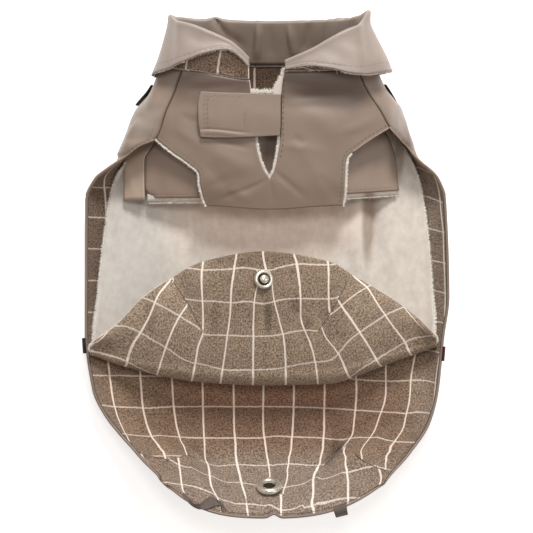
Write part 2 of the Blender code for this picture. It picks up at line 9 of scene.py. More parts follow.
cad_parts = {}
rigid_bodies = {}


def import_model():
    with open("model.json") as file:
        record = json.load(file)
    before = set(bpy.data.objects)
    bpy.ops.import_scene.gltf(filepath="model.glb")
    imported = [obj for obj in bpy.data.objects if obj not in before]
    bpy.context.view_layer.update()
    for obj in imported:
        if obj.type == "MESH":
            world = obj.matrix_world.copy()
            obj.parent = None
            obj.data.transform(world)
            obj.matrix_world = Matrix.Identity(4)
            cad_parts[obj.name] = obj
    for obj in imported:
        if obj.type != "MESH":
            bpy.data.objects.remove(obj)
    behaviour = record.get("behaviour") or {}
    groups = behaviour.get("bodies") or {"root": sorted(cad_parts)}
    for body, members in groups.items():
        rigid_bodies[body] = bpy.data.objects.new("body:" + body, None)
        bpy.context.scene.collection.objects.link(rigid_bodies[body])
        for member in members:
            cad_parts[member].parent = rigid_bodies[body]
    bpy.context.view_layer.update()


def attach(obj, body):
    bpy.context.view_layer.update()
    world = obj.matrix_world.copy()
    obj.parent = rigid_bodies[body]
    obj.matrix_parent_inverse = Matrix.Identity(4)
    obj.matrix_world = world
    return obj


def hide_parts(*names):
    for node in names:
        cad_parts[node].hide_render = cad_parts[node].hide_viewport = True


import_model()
print("frame loaded")

mm = 0.001
upward = np.array([0, 0, 1.0])
middle = (-0.2, 1.35)  # of the finished coat, which lies at the origin
camera = {"height": 1600, "pixel": 0.75, "centre": (266.0, 265.5), "size": 533, "aim": (0.575, -2.1)}


def lerp(a, b, t):
    return a + (b - a) * t


def smoothStep(low, high, x):
    t = np.clip((x - low) / (high - low), 0, 1)
    return t * t * (3 - 2 * t)


def bezier(a, b, c, d, t):
    s = 1 - t
    return a * s**3 + 3 * b * s * s * t + 3 * c * s * t * t + d * t**3


def smoothLine(at, value):  # a line through the points that never overshoots them
    order = np.argsort(at)
    at, value = np.array(at, float)[order], np.array(value, float)[order]
    step = np.diff(at)
    slope = np.diff(value) / step
    before, after = slope[:-1], slope[1:]
    same = before * after > 0
    inner = np.where(same, 2 * before * after / np.where(same, before + after, 1), 0)
    tangent = np.concatenate([slope[:1], inner, slope[-1:]])

    def read(x):
        i = np.clip(np.searchsorted(at, x, side="right") - 1, 0, len(step) - 1)
        t = np.clip((x - at[i]) / step[i], 0, 1)
        rise = step[i] * (t * (1 - t) ** 2 * tangent[i] - t * t * (1 - t) * tangent[i + 1])
        return value[i] + (value[i + 1] - value[i]) * t * t * (3 - 2 * t) + rise

    return read


def columnsOf(table):  # a smooth line for each column after the first
    at, *columns = zip(*table)
    return [smoothLine(at, column) for column in columns]


def unit(vectors):
    return vectors / np.maximum(np.linalg.norm(vectors, axis=-1, keepdims=True), 1e-9)


def pixelsPerMm(height):
    return camera["height"] / (camera["height"] - height) / camera["pixel"]


def picture(points):  # where the camera sees points of the coat
    scale = pixelsPerMm(points[..., 2])
    return camera["centre"][0] + points[..., 0] * scale, camera["centre"][1] - points[..., 1] * scale


def behind(px, py, height):  # x and y at that height behind a place in the picture
    scale = pixelsPerMm(height)
    return (px - camera["centre"][0]) / scale, (camera["centre"][1] - py) / scale


def nearest(grid, px, py):  # the row and column of the point seen closest to a place in the picture
    seenX, seenY = picture(grid)
    return np.unravel_index(np.argmin(np.hypot(seenX - px, seenY - py)), seenX.shape)


def normalsOf(grid):
    return unit(np.cross(np.gradient(grid, axis=0), np.gradient(grid, axis=1)))


def moved(grid, distance):
    return grid + normalsOf(grid) * np.asarray(distance)[..., None]


def spread(first, *steps):  # runs of even steps: where each run ends, and how many steps it has
    values = [first]
    for last, count in zip(steps[::2], steps[1::2]):
        values += list(np.linspace(values[-1], last, count + 1)[1:])
    return np.array(values)


def ripples(x, y, size, seed):  # slow uneven waves, mostly between -1 and 1
    chance = np.random.default_rng(seed)
    total = 0
    for _ in range(6):
        angle, phase = chance.uniform(0, pi), chance.uniform(0, 2 * pi)
        pitch = size * chance.uniform(0.6, 1.7)
        total = total + np.sin((x * cos(angle) + y * sin(angle)) * 2 * pi / pitch + phase)
    return total / 4


def foldsAt(points, table):  # soft ridges and troughs: a line in the picture, width, height, how crisp
    px, py = picture(points)
    total = np.zeros(px.shape)
    for x0, y0, x1, y1, width, height, *crisp in table:
        ax, ay = x1 - x0, y1 - y0
        length = hypot(ax, ay)
        t = ((px - x0) * ax + (py - y0) * ay) / length**2
        side = ((px - x0) * ay - (py - y0) * ax) / length + 0.04 * length * np.sin(3.1 * t + x0)
        wide = np.where(side > 0, width, width / (crisp or [1.0])[0]) * (0.8 + 0.4 * np.clip(t, 0, 1))
        ends = smoothStep(-0.25, 0.25, t) * (1 - smoothStep(0.75, 1.25, t))
        total = total + height * ends * np.exp(-((side / wide) ** 2))
    return total


def along(path):  # length along a path up to each of its points
    return np.concatenate([[0], np.cumsum(np.linalg.norm(np.diff(path, axis=0), axis=1))])


def readAt(wanted, at, path):
    return np.stack([np.interp(wanted, at, line) for line in path.T], 1)


def evenly(path, count):
    at = along(path)
    return readAt(np.linspace(0, at[-1], count), at, path)


def blurred(padded, kernel):
    return np.stack([np.convolve(line, kernel / kernel.sum(), "valid") for line in padded.T], 1)


def smoothed(path, reach):  # each point eased towards those up to reach steps away
    padded = np.concatenate([2 * path[0] - path[reach:0:-1], path, 2 * path[-1] - path[-2 : -reach - 2 : -1]])
    return blurred(padded, np.hanning(2 * reach + 3)[1:-1])


def unrolled(grid, row, column):  # distances over the cloth from one row and one column of it
    across = np.zeros(grid.shape[:2])
    across[:, 1:] = np.cumsum(np.linalg.norm(np.diff(grid, axis=1), axis=-1), axis=1)
    down = np.zeros(grid.shape[:2])
    down[1:] = np.cumsum(np.linalg.norm(np.diff(grid, axis=0), axis=-1), axis=0)
    return np.stack([across - across[:, column : column + 1], down - down[row : row + 1]], -1)


def place(grid):
    return (grid - np.array([*middle, 0])) * mm


def meshOf(name, bm):
    mesh = bpy.data.meshes.new(name)
    bm.to_mesh(mesh)
    bm.free()
    return mesh


def finished(made, finish, nodes=()):  # what every piece gets at the end
    if isinstance(made, bpy.types.Mesh):
        made = bpy.data.objects.new(made.name, made)
    made.data.shade_smooth()
    made.data.materials.append(finishes[finish])
    bpy.context.scene.collection.objects.link(made)
    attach(made, "root")
    if nodes:
        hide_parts(*nodes)
    return made


def gridPlaces(corners, grid):  # which point of the grid each corner of a plain square stands for
    rows, columns = grid.shape[:2]
    return (np.rint((0.5 - corners[:, 1]) * (rows - 1)).astype(int),
            np.rint((corners[:, 0] + 0.5) * (columns - 1)).astype(int))


# A wall of cloth over one or more grids of points, which are joined where they meet. Cloths are the maps
# that the finish reads, in cm seen from above unless they are given. Where there are several for one grid,
# choose tells which one each face takes.
def clothPiece(name, grids, wall, finish, nodes=(), cloths=None, soft=0.0, choose=None):
    cloths = cloths or [grid[..., :2] / 10 for grid in grids]
    bm = bmesh.new()
    for grid in grids:
        bmesh.ops.create_grid(bm, x_segments=grid.shape[1] - 1, y_segments=grid.shape[0] - 1, size=0.5)
    mesh = meshOf(name, bm)
    flat = np.empty(len(mesh.vertices) * 3, np.float32)
    mesh.vertices.foreach_get("co", flat)
    parts = np.split(flat.reshape(-1, 3), np.cumsum([grid[..., 0].size for grid in grids])[:-1])
    places = [gridPlaces(part, grid) for part, grid in zip(parts, grids)]
    points = np.concatenate([grid[at] for grid, at in zip(grids, places)])
    mesh.vertices.foreach_set("co", place(points).astype(np.float32).ravel())
    corners = np.empty(len(mesh.loops), np.int32)
    mesh.loops.foreach_get("vertex_index", corners)
    if choose:
        sector = choose(*picture(points[corners].reshape(-1, 4, 3).mean(axis=1)))
        i, j = places[0]
        onMap = cloths[0][np.repeat(sector, 4), i[corners], j[corners]]
    else:
        onMap = np.concatenate([cloth[at] for cloth, at in zip(cloths, places)])[corners]
    layer = mesh.uv_layers.new(name="cloth")
    layer.data.foreach_set("uv", onMap.astype(np.float32).ravel())
    if len(grids) > 1:
        bm = bmesh.new()
        bm.from_mesh(mesh)
        bmesh.ops.remove_doubles(bm, verts=bm.verts, dist=0.00002)
        bm.to_mesh(mesh)
        bm.free()
    made = bpy.data.objects.new(name, mesh)
    thick = made.modifiers.new("wall", "SOLIDIFY")
    thick.thickness = wall * mm
    thick.offset = 0
    if soft:
        edge = made.modifiers.new("softEdge", "BEVEL")
        edge.width = soft * mm
        edge.segments = 3
        edge.limit_method = "ANGLE"
        edge.angle_limit = radians(50)
    return finished(made, finish, nodes)


def tubeGrid(path, radius, steps=8):  # a rod along a path, as a grid that closes on itself
    tangent = unit(np.gradient(path, axis=0))
    side = unit(np.cross(tangent, upward))
    over = np.cross(side, tangent)
    turn = np.linspace(0, 2 * pi, steps + 1)[:, None]
    return path[:, None] + radius * (side[:, None] * np.cos(turn) + over[:, None] * np.sin(turn))


def rods(name, paths, finish, steps=6):  # each path comes with its radius
    bm = bmesh.new()
    for path, radius in paths:
        grid = tubeGrid(path, radius, steps)
        rows, columns = grid.shape[:2]
        made = bmesh.ops.create_grid(bm, x_segments=columns - 1, y_segments=rows - 1, size=0.5)["verts"]
        for vert, point in zip(made, place(grid[gridPlaces(np.array([v.co for v in made]), grid)])):
            vert.co = point
        bmesh.ops.remove_doubles(bm, verts=made, dist=0.000005)
    bmesh.ops.holes_fill(bm, edges=[edge for edge in bm.edges if edge.is_boundary], sides=0)
    bmesh.ops.recalc_face_normals(bm, faces=bm.faces)
    return finished(meshOf(name, bm), finish)


def repeated(name, bm, matrices, finish):  # one small shape set down many times
    mesh = bpy.data.meshes.new(name)
    bm.to_mesh(mesh)
    bm.clear()
    bm.from_mesh(mesh)
    corner = np.array([(*v.co, 1.0) for v in bm.verts])
    sizes, made = (len(bm.verts), len(bm.edges), len(bm.faces)), 1
    while made < len(matrices):
        more = min(made, len(matrices) - made)
        kinds = zip((bm.verts, bm.edges, bm.faces), sizes)
        bmesh.ops.duplicate(bm, geom=[item for kind, size in kinds for item in kind[: more * size]])
        made += more
    bm.to_mesh(mesh)
    bm.free()
    points = np.einsum("nij,kj->nki", np.array(matrices), corner)[..., :3]
    mesh.vertices.foreach_set("co", place(points).astype(np.float32).ravel())
    return finished(mesh, finish)


def towards(point, axis, other, long, wide, deep):  # shapes' matrices: their x along axis, z near other
    x = unit(axis)
    y = unit(np.cross(other, x))
    made = np.zeros((len(x), 4, 4))
    made[:, :3, 0], made[:, :3, 1], made[:, :3, 2] = x * long, y * wide, np.cross(x, y) * deep
    made[:, :3, 3], made[:, 3, 3] = point, 1
    return made


def stitchesOn(path, over=upward, pitch=4.0, long=2.9, wide=0.34, deep=0.22, skew=0.0):
    at = along(path)
    wanted = np.arange(pitch / 2, at[-1], pitch)
    parts = (path, np.gradient(path, axis=0), np.broadcast_to(over, path.shape))
    point, ahead, over = (readAt(wanted, at, part) for part in parts)
    ahead = unit(ahead)
    return towards(point, ahead + skew * np.cross(over, ahead), over, long / 2, wide / 2, deep / 2)


fluff = {"lean": 0.9, "thick": 0.19, "clump": 7, "clumped": 0.6, "loose": 0.5}


# Fibres along an edge: out is the way they lean, one for each point of the path or one for all.
def fibresOn(path, out, perMm, long, seed, band=0.5, lean=fluff["lean"]):
    chance = np.random.default_rng(seed)
    at = along(path)
    wanted = np.sort(chance.uniform(0, at[-1], int(at[-1] * perMm)))
    parts = (path, np.broadcast_to(out, path.shape), np.gradient(path, axis=0))
    point, outward, ahead = (readAt(wanted, at, part) for part in parts)
    ahead = unit(ahead)
    n, size = len(wanted), fluff["clump"]
    clump = np.repeat(chance.normal(0, 1, (n // size + 1, 3)), size, axis=0)[:n]
    noise = fluff["clumped"] * clump + fluff["loose"] * chance.normal(0, 1, (n, 3))
    off = noise[:, :1] * ahead + 0.7 * noise[:, 1:2] * upward + 0.3 * noise[:, 2:] * outward
    point = point + chance.uniform(-band, band * 0.3, (n, 1)) * outward
    point = point + chance.uniform(-0.4, 0.4, (n, 1)) * upward
    length = long * chance.uniform(0.45, 1.15, (n, 1))
    return towards(point, outward + lean * off, upward, length, fluff["thick"], fluff["thick"])


def alongX(bm):
    bm.transform(Matrix.Rotation(pi / 2, 4, "Y"))
    return bm


def fibre():  # one thin tapering fibre
    bm = bmesh.new()
    bmesh.ops.create_cone(bm, segments=4, radius1=1, radius2=0.25, depth=1)
    bm.transform(Matrix.Translation((0, 0, 0.5)))
    return alongX(bm)


def bead():  # one stitch
    bm = bmesh.new()
    bmesh.ops.create_uvsphere(bm, u_segments=6, v_segments=4, radius=1)
    return alongX(bm)


def pinched(grid, spots):  # draws the nearest cloth out to places in the picture
    grid = grid.copy()
    for tx, ty, reach in spots:
        px, py = picture(grid)
        near = nearest(grid, tx, ty)
        share = np.exp(-(np.hypot(px - px[near], py - py[near]) / reach) ** 2)
        size = share / pixelsPerMm(grid[..., 2])
        grid[..., 0] += (tx - px[near]) * size
        grid[..., 1] -= (ty - py[near]) * size
    return grid


def feed(tree, node, inputs):  # sets a node's inputs, or links them where another node gives the value
    for key, value in inputs.items():
        if isinstance(value, bpy.types.NodeSocket):
            tree.links.new(value, node.inputs[key])
        else:
            node.inputs[key].default_value = value
    return node


def put(tree, kind, inputs=None, **settings):
    made = tree.nodes.new("ShaderNode" + kind)
    for key, value in settings.items():
        setattr(made, key, value)
    return feed(tree, made, inputs or {})


def maths(tree, operation, *values, kind="Math"):
    return put(tree, kind, dict(enumerate(values)), operation=operation).outputs[0]


def mixed(tree, share, first, second, blend="MIX"):
    first, second = (c if isinstance(c, bpy.types.NodeSocket) else (*c[:3], 1) for c in (first, second))
    return put(tree, "Mix", {0: share, 6: first, 7: second}, data_type="RGBA", blend_type=blend).outputs[2]


def noiseOn(tree, vector, scale, detail, **more):
    return put(tree, "TexNoise", {"Vector": vector, "Scale": scale, "Detail": detail, **more}).outputs[0]


def ramp(tree, value, *ends, kind="LINEAR"):  # from a low and a high value to two others
    return put(tree, "MapRange", dict(enumerate((value, *ends))), interpolation_type=kind).outputs[0]


def stretched(tree, vector, *sizes):
    return maths(tree, "MULTIPLY", vector, sizes, kind="VectorMath")


def newGroup(name, values, outputs):  # shader nodes that take a vector and some values
    group = bpy.data.node_groups.new(name, "ShaderNodeTree")
    group.interface.new_socket("Vector", in_out="INPUT", socket_type="NodeSocketVector")
    for label, value in values.items():
        group.interface.new_socket(label, in_out="INPUT", socket_type="NodeSocketFloat").default_value = value
    for label in outputs:
        group.interface.new_socket(label, in_out="OUTPUT", socket_type="NodeSocketFloat")
    return group, group.nodes.new("NodeGroupInput").outputs, group.nodes.new("NodeGroupOutput")


def useGroup(tree, group, **inputs):
    return put(tree, "Group", inputs, node_tree=group).outputs


def makeWeave():  # crossing threads: height, and a tone that changes from thread to thread
    group, given, out = newGroup("threadWeave", {"Threads": 20.0}, ["Height", "Tone"])
    split = put(group, "SeparateXYZ", {0: given["Vector"]}).outputs
    turns = [maths(group, "MULTIPLY", split[k], given["Threads"]) for k in (0, 1)]
    waves = [maths(group, "SINE", maths(group, "MULTIPLY", turn, 2 * pi)) for turn in turns]
    height = maths(group, "MULTIPLY_ADD", maths(group, "MULTIPLY", *waves), 0.5, 0.5)
    scale = maths(group, "MULTIPLY", given["Threads"], 0.16)
    tones = [noiseOn(group, stretched(group, given["Vector"], *sizes), scale, 3.0)
             for sizes in ((1.0, 9.0, 1.0), (9.0, 1.0, 1.0))]
    feed(group, out, {"Height": height, "Tone": maths(group, "MULTIPLY", maths(group, "ADD", *tones), 0.5)})
    return group


def makeMottle():  # slow uneven tone and a fine grain
    group, given, out = newGroup("softMottle", {"Size": 1.0}, ["Slow", "Fine"])
    for label, times, detail in (("Slow", 1.0, 4.0), ("Fine", 14.0, 5.0)):
        scale = maths(group, "MULTIPLY", given["Size"], times)
        feed(group, out, {label: noiseOn(group, given["Vector"], scale, detail, Roughness=0.6)})
    return group


def makeWindowpane():  # single lines of a window check, one repeat for each unit of the cloth's map
    group, given, out = newGroup("windowCheck", {"Wide": 0.04, "Narrow": 0.025}, ["Upright", "Level"])
    wobble = noiseOn(group, given["Vector"], 7.0, 3.0)
    split = put(group, "SeparateXYZ", {0: given["Vector"]}).outputs
    for k, label, width in ((0, "Upright", "Wide"), (1, "Level", "Narrow")):
        shifted = maths(group, "MULTIPLY_ADD", wobble, 0.03, maths(group, "ADD", split[k], 0.485))
        off = maths(group, "ABSOLUTE", maths(group, "SUBTRACT", maths(group, "FRACT", shifted), 0.5))
        inner = maths(group, "MULTIPLY", given[width], 0.55)
        feed(group, out, {label: ramp(group, off, inner, given[width], 1.0, 0.0, kind="SMOOTHSTEP")})
    return group


weaveGroup, mottleGroup, checkGroup = makeWeave(), makeMottle(), makeWindowpane()
finishes = {}


def newFinish(name, roughness, specular=0.5, sheen=0.0, **more):
    material = bpy.data.materials.new(name)
    material.use_nodes = True
    finishes[name] = material
    tree, shader = material.node_tree, material.node_tree.nodes["Principled BSDF"]
    feed(tree, shader, {"Roughness": roughness, "Specular IOR Level": specular, "Sheen Weight": sheen})
    return tree, feed(tree, shader, {label.replace("_", " "): value for label, value in more.items()})


def bumpInto(tree, shader, height, strength, distance):
    bump = put(tree, "Bump", {"Height": height, "Strength": strength, "Distance": distance * mm})
    tree.links.new(bump.outputs[0], shader.inputs["Normal"])


def clothVector(tree):
    return put(tree, "UVMap", uv_map="cloth").outputs[0]


def objectVector(tree, scale=100.0):  # in cm
    return stretched(tree, put(tree, "TexCoord").outputs["Object"], scale, scale, scale)


def paintedLightAndShade(tree, colour, places):  # painted light and shade: a lighter or darker tone round some places: their middle and reach in cm, the tone
    for middleAt, reach, tone in places:
        off = maths(tree, "SUBTRACT", objectVector(tree), middleAt, kind="VectorMath")
        off = stretched(tree, off, *(1 / r for r in reach))
        far = put(tree, "VectorMath", {0: off}, operation="LENGTH").outputs[1]
        share = ramp(tree, far, 0.45, 1.2, 1.0, 0.0, kind="SMOOTHSTEP")
        colour = mixed(tree, share, colour, tone, "MULTIPLY")
    return colour


def tinted(colour, tint):
    return tuple(c * k for c, k in zip(colour, tint))


noTint = (1, 1, 1)
coated = {"light": (0.282, 0.213, 0.167), "dark": (0.205, 0.154, 0.118), "roughness": 0.41, "specular": 0.62,
          "sheen": 0.1, "threads": 30.0, "slow": 0.45, "bump": 0.35, "bumpSize": 0.12}


def makeCoated(name, tint=noTint, vectorOf=clothVector, deep=()):  # smooth coated cloth; its map is in cm; deep lists spots of painted light and shade
    tree, shader = newFinish(name, coated["roughness"], coated["specular"], coated["sheen"])
    vector = vectorOf(tree)
    mottle = useGroup(tree, mottleGroup, Vector=vector, Size=coated["slow"])
    weave = useGroup(tree, weaveGroup, Vector=vector, Threads=coated["threads"])
    tone = maths(tree, "MULTIPLY_ADD", mottle["Slow"], 0.7, maths(tree, "MULTIPLY", weave["Tone"], 0.35))
    colour = mixed(tree, tone, tinted(coated["dark"], tint), tinted(coated["light"], tint))
    rough = ramp(tree, mottle["Fine"], 0.3, 0.7, coated["roughness"] - 0.05, coated["roughness"] + 0.09)
    feed(tree, shader, {"Base Color": paintedLightAndShade(tree, colour, deep), "Roughness": rough})
    height = maths(tree, "MULTIPLY_ADD", weave["Height"], 0.5, mottle["Fine"])
    bumpInto(tree, shader, height, coated["bump"], coated["bumpSize"])


check = {"ground": (0.074, 0.052, 0.035), "light": (0.56, 0.435, 0.325), "line": (0.86, 0.76, 0.67),
         "roughness": 0.92, "specular": 0.2, "sheen": 0.15, "threads": 42.0, "wide": 0.040, "narrow": 0.030,
         "slow": 2.2, "speckle": 17.0, "speckled": 4.8, "shift": -3.17, "bump": 0.5, "bumpSize": 0.2}


# Heather weave with a windowpane check; its map is in repeats of the check. deep lists spots of painted light
# and shade, which reach the lines more weakly.
def makeCheck(name, darkTint=noTint, lightTint=noTint, lineTint=noTint, deep=()):
    tree, shader = newFinish(name, check["roughness"], check["specular"], check["sheen"], Sheen_Roughness=0.6)
    vector = clothVector(tree)
    weave = useGroup(tree, weaveGroup, Vector=vector, Threads=check["threads"])
    mottle = useGroup(tree, mottleGroup, Vector=vector, Size=check["slow"])
    pane = useGroup(tree, checkGroup, Vector=vector, Wide=check["wide"], Narrow=check["narrow"])
    grain = noiseOn(tree, vector, check["speckle"], 6.0, Roughness=0.85)
    tone = maths(tree, "MULTIPLY_ADD", grain, check["speckled"], check["shift"])
    tone = maths(tree, "MULTIPLY_ADD", weave["Tone"], 2.0, tone)
    tone = maths(tree, "MULTIPLY_ADD", mottle["Slow"], 0.5, tone)
    dark, light = tinted(check["ground"], darkTint), tinted(check["light"], lightTint)
    ground = paintedLightAndShade(tree, mixed(tree, put(tree, "Clamp", {0: tone}).outputs[0], dark, light), deep)
    # the same painted light and shade, weaker on the check's lines
    linePaintedLight = [(at, reach, [c**0.4 for c in depth]) for at, reach, depth in deep]
    line = paintedLightAndShade(tree, tinted(check["line"], lineTint), linePaintedLight)
    worn, bold = ramp(tree, grain, 0.40, 0.58, 0.38, 0.9), ramp(tree, grain, 0.30, 0.46, 0.72, 1.0)
    lines = maths(tree, "MAXIMUM", maths(tree, "MULTIPLY", pane["Upright"], bold),
                  maths(tree, "MULTIPLY", pane["Level"], worn))
    feed(tree, shader, {"Base Color": mixed(tree, lines, ground, line)})
    height = maths(tree, "MULTIPLY_ADD", lines, 0.8, maths(tree, "ADD", weave["Height"], grain))
    bumpInto(tree, shader, height, check["bump"], check["bumpSize"])


fleece = {"light": (0.72, 0.672, 0.61), "dark": (0.50, 0.43, 0.37), "roughness": 1.0, "specular": 0.1,
          "sheen": 0.25, "slow": 1.1, "pile": 16.0, "streak": 2.6, "bump": 0.7, "bumpSize": 0.5,
          # shade: warm painted bounce light over the shaded middle, painted shadow along the fold on the
          # right and by the right armhole, painted shade on the left side
          "shade": (((0.3, 4.0, 1.0), (8.0, 4.2, 9.0), (1.23, 1.13, 1.09)),
                    ((7.8, 4.4, 1.0), (0.8, 1.2, 9.0), (0.84, 0.80, 0.77)),
                    ((7.65, 3.0, 1.0), (0.55, 3.6, 9.0), (0.60, 0.55, 0.51)),
                    ((9.95, 7.85, 1.5), (0.42, 1.7, 9.0), (0.62, 0.57, 0.53)),
                    ((-10.4, 0.5, 1.0), (3.4, 7.0, 9.0), (0.89, 0.92, 0.95)))}


def makeFleece(name):  # short soft pile; its map is in cm
    tree, shader = newFinish(name, fleece["roughness"], fleece["specular"], fleece["sheen"])
    vector = clothVector(tree)
    mottle = useGroup(tree, mottleGroup, Vector=vector, Size=fleece["slow"])
    pile = noiseOn(tree, vector, fleece["pile"], 5.0, Roughness=0.7, Distortion=0.6)
    streak = noiseOn(tree, stretched(tree, vector, 1.0, 0.45, 1.0), fleece["streak"], 5.0, Roughness=0.7)
    tone = maths(tree, "MULTIPLY_ADD", mottle["Slow"], 1.1, maths(tree, "MULTIPLY", pile, 0.8))
    tone = maths(tree, "MULTIPLY_ADD", streak, 0.8, maths(tree, "SUBTRACT", tone, 0.68))
    colour = mixed(tree, put(tree, "Clamp", {0: tone}).outputs[0], fleece["dark"], fleece["light"])
    feed(tree, shader, {"Base Color": paintedLightAndShade(tree, colour, fleece["shade"])})
    bumpInto(tree, shader, maths(tree, "ADD", pile, mottle["Fine"]), fleece["bump"], fleece["bumpSize"])


def makePlain(name, colour, roughness, vary, specular=0.5, sheen=0.0):  # thread, ribbon and webbing
    tree, shader = newFinish(name, roughness, specular, sheen)
    vector = put(tree, "TexCoord").outputs["Object"]
    mottle = useGroup(tree, mottleGroup, Vector=vector, Size=160.0)
    ribs = useGroup(tree, weaveGroup, Vector=vector, Threads=1400.0)
    dark = tuple(c * (1 - vary) for c in colour)
    feed(tree, shader, {"Base Color": mixed(tree, mottle["Fine"], dark, colour)})
    bumpInto(tree, shader, maths(tree, "ADD", mottle["Fine"], ribs["Height"]), 0.4, 0.15)


nickel = {"dark": (0.66, 0.62, 0.53), "light": (0.92, 0.88, 0.78), "smooth": 0.23, "rough": 0.38,
          "specular": 0.6, "metal": 0.82}


def makeNickel():
    tree, shader = newFinish("nickel", nickel["smooth"], nickel["specular"], Metallic=nickel["metal"])
    mottle = useGroup(tree, mottleGroup, Vector=put(tree, "TexCoord").outputs["Object"], Size=120.0)
    rough = ramp(tree, mottle["Fine"], 0.35, 0.7, nickel["smooth"], nickel["rough"])
    colour = mixed(tree, mottle["Slow"], nickel["dark"], nickel["light"])
    feed(tree, shader, {"Base Color": colour, "Roughness": rough})
    bumpInto(tree, shader, mottle["Slow"], 0.1, 0.05)


# painted highlights on both shoulders
makeCoated("coatedShell", deep=(((-9.0, 10.6, 3.0), (1.2, 1.9, 9.0), (1.22, 1.33, 1.43)),
                                ((9.85, 10.4, 3.0), (0.9, 2.0, 9.0), (1.25, 1.38, 1.54)),
                                ((9.95, 10.6, 3.0), (0.32, 1.0, 9.0), (1.15, 1.18, 1.22))))
# painted shadow of the collar wings across the top of the chest, and painted shade low on the left front
makeCoated("coatedChest", (0.92, 0.90, 0.88),
           deep=(((-3.6, 13.4, 4.0), (5.0, 1.7, 9.0), (0.70, 0.68, 0.71)),
                 ((4.2, 13.25, 4.0), (5.4, 1.8, 9.0), (0.62, 0.60, 0.62)),
                 ((-3.5, 5.0, 4.0), (1.7, 1.6, 9.0), (0.84, 0.82, 0.80))))
makeCoated("coatedTab", (0.91, 0.89, 0.87))
makeCoated("coatedEdge", (0.8, 0.8, 0.8), objectVector)
makeCoated("coatedRim", (1.25, 1.22, 1.2), objectVector)
# a lighter, greyer copy of the coated cloth as painted sheen on the wings, with painted shade inside the back
# of the collar and a painted highlight on the left wing
makeCoated("coatedCollar", (1.17, 1.26, 1.38),
           deep=(((0.1, 16.3, 0.8), (8.0, 4.0, 2.8), (0.68, 0.635, 0.58)),
                 ((-5.8, 15.8, 4.0), (1.4, 2.0, 2.4), (1.25, 1.28, 1.31))))
# a lighter copy of the coated cloth as painted light, with painted shade behind the V notch
makeCoated("coatedBand", (1.13, 1.10, 1.08), deep=(((0.15, 8.2, 3.0), (1.9, 3.6, 9.0), (0.50, 0.44, 0.40)),))
# a much lighter copy of the coated cloth: painted light that lifts the shadow of the shell's curled edge
makeCoated("coatedBandSide", (1.72, 1.74, 1.76))
# painted shade over the flap's upper part and along its creases, under the stud and by its darts
makeCheck("check", (0.96, 0.95, 0.93), (0.96, 0.95, 0.92),
          deep=(((0.3, -1.6, 3.0), (7.5, 3.5, 9.0), (0.76, 0.745, 0.73)),
                ((-0.9, 0.55, 3.0), (3.6, 0.9, 9.0), (0.74, 0.72, 0.71)),
                ((5.2, -3.9, 3.0), (1.3, 1.8, 9.0), (0.80, 0.78, 0.77)),
                ((0.17, -3.9, 3.0), (0.30, 1.5, 9.0), (0.62, 0.60, 0.58)),
                ((-3.75, -4.3, 3.0), (0.36, 1.6, 9.0), (0.76, 0.74, 0.72)),
                ((2.2, -3.0, 3.0), (0.4, 0.9, 9.0), (0.76, 0.74, 0.72)),
                ((3.05, -4.8, 3.0), (0.4, 0.9, 9.0), (0.74, 0.72, 0.70)),
                ((-8.4, -3.8, 3.0), (0.5, 1.3, 9.0), (0.78, 0.77, 0.76))))
# a darker, redder copy of the check as painted shade over the lining; spots of painted shade in the neck gap,
# low in the middle, by the right dart and on the left side strip, and painted light under the flap's fold,
# along the tail rim and on the right side
makeCheck("checkLining", (0.60, 0.53, 0.48), (0.72, 0.64, 0.58), (0.94, 0.92, 0.90),
          deep=(((0.15, 14.2, 1.0), (4.5, 3.0, 9.0), (0.5, 0.46, 0.43)),
                ((0.4, -10.8, 1.0), (11.0, 3.6, 9.0), (0.80, 0.70, 0.68)),
                ((11.9, -9.9, 1.0), (1.3, 3.0, 9.0), (1.30, 1.42, 1.52)),
                ((0.4, -9.6, 1.0), (9.5, 1.3, 9.0), (1.36, 1.28, 1.27)),
                ((0.3, -16.8, 1.0), (12.0, 3.3, 9.0), (1.10, 1.24, 1.40)),
                ((5.25, -13.75, 1.0), (0.45, 0.8, 9.0), (0.62, 0.60, 0.60)),
                ((4.75, -14.55, 1.0), (0.42, 0.6, 9.0), (0.74, 0.72, 0.72)),
                ((-13.3, 2.5, 1.0), (2.4, 8.5, 9.0), (0.62, 0.61, 0.62)),
                ((13.3, 2.0, 1.0), (2.2, 8.5, 9.0), (1.05, 1.17, 1.32))))
# a darker copy of the check as painted shade under the collar wings
makeCheck("checkNeck", (0.6, 0.54, 0.51), (0.85, 0.78, 0.75))
makeFleece("fleece")
makePlain("fluff", (0.95, 0.90, 0.84), 1.0, 0.08, sheen=0.4)
makePlain("seamThread", (0.20, 0.155, 0.12), 0.7, 0.35)
makePlain("seamShade", (0.06, 0.043, 0.034), 0.9, 0.3)
makePlain("ribbon", (0.135, 0.105, 0.088), 0.6, 0.35, 0.4)
makePlain("webbing", (0.014, 0.012, 0.014), 0.65, 0.4)
makePlain("redThread", (0.085, 0.012, 0.016), 0.7, 0.4)
# near-black painted shade for the snap's hollows
makePlain("snapInside", (0.030, 0.027, 0.012), 0.8, 0.5, 0.15)
makeNickel()
print("finishes made")


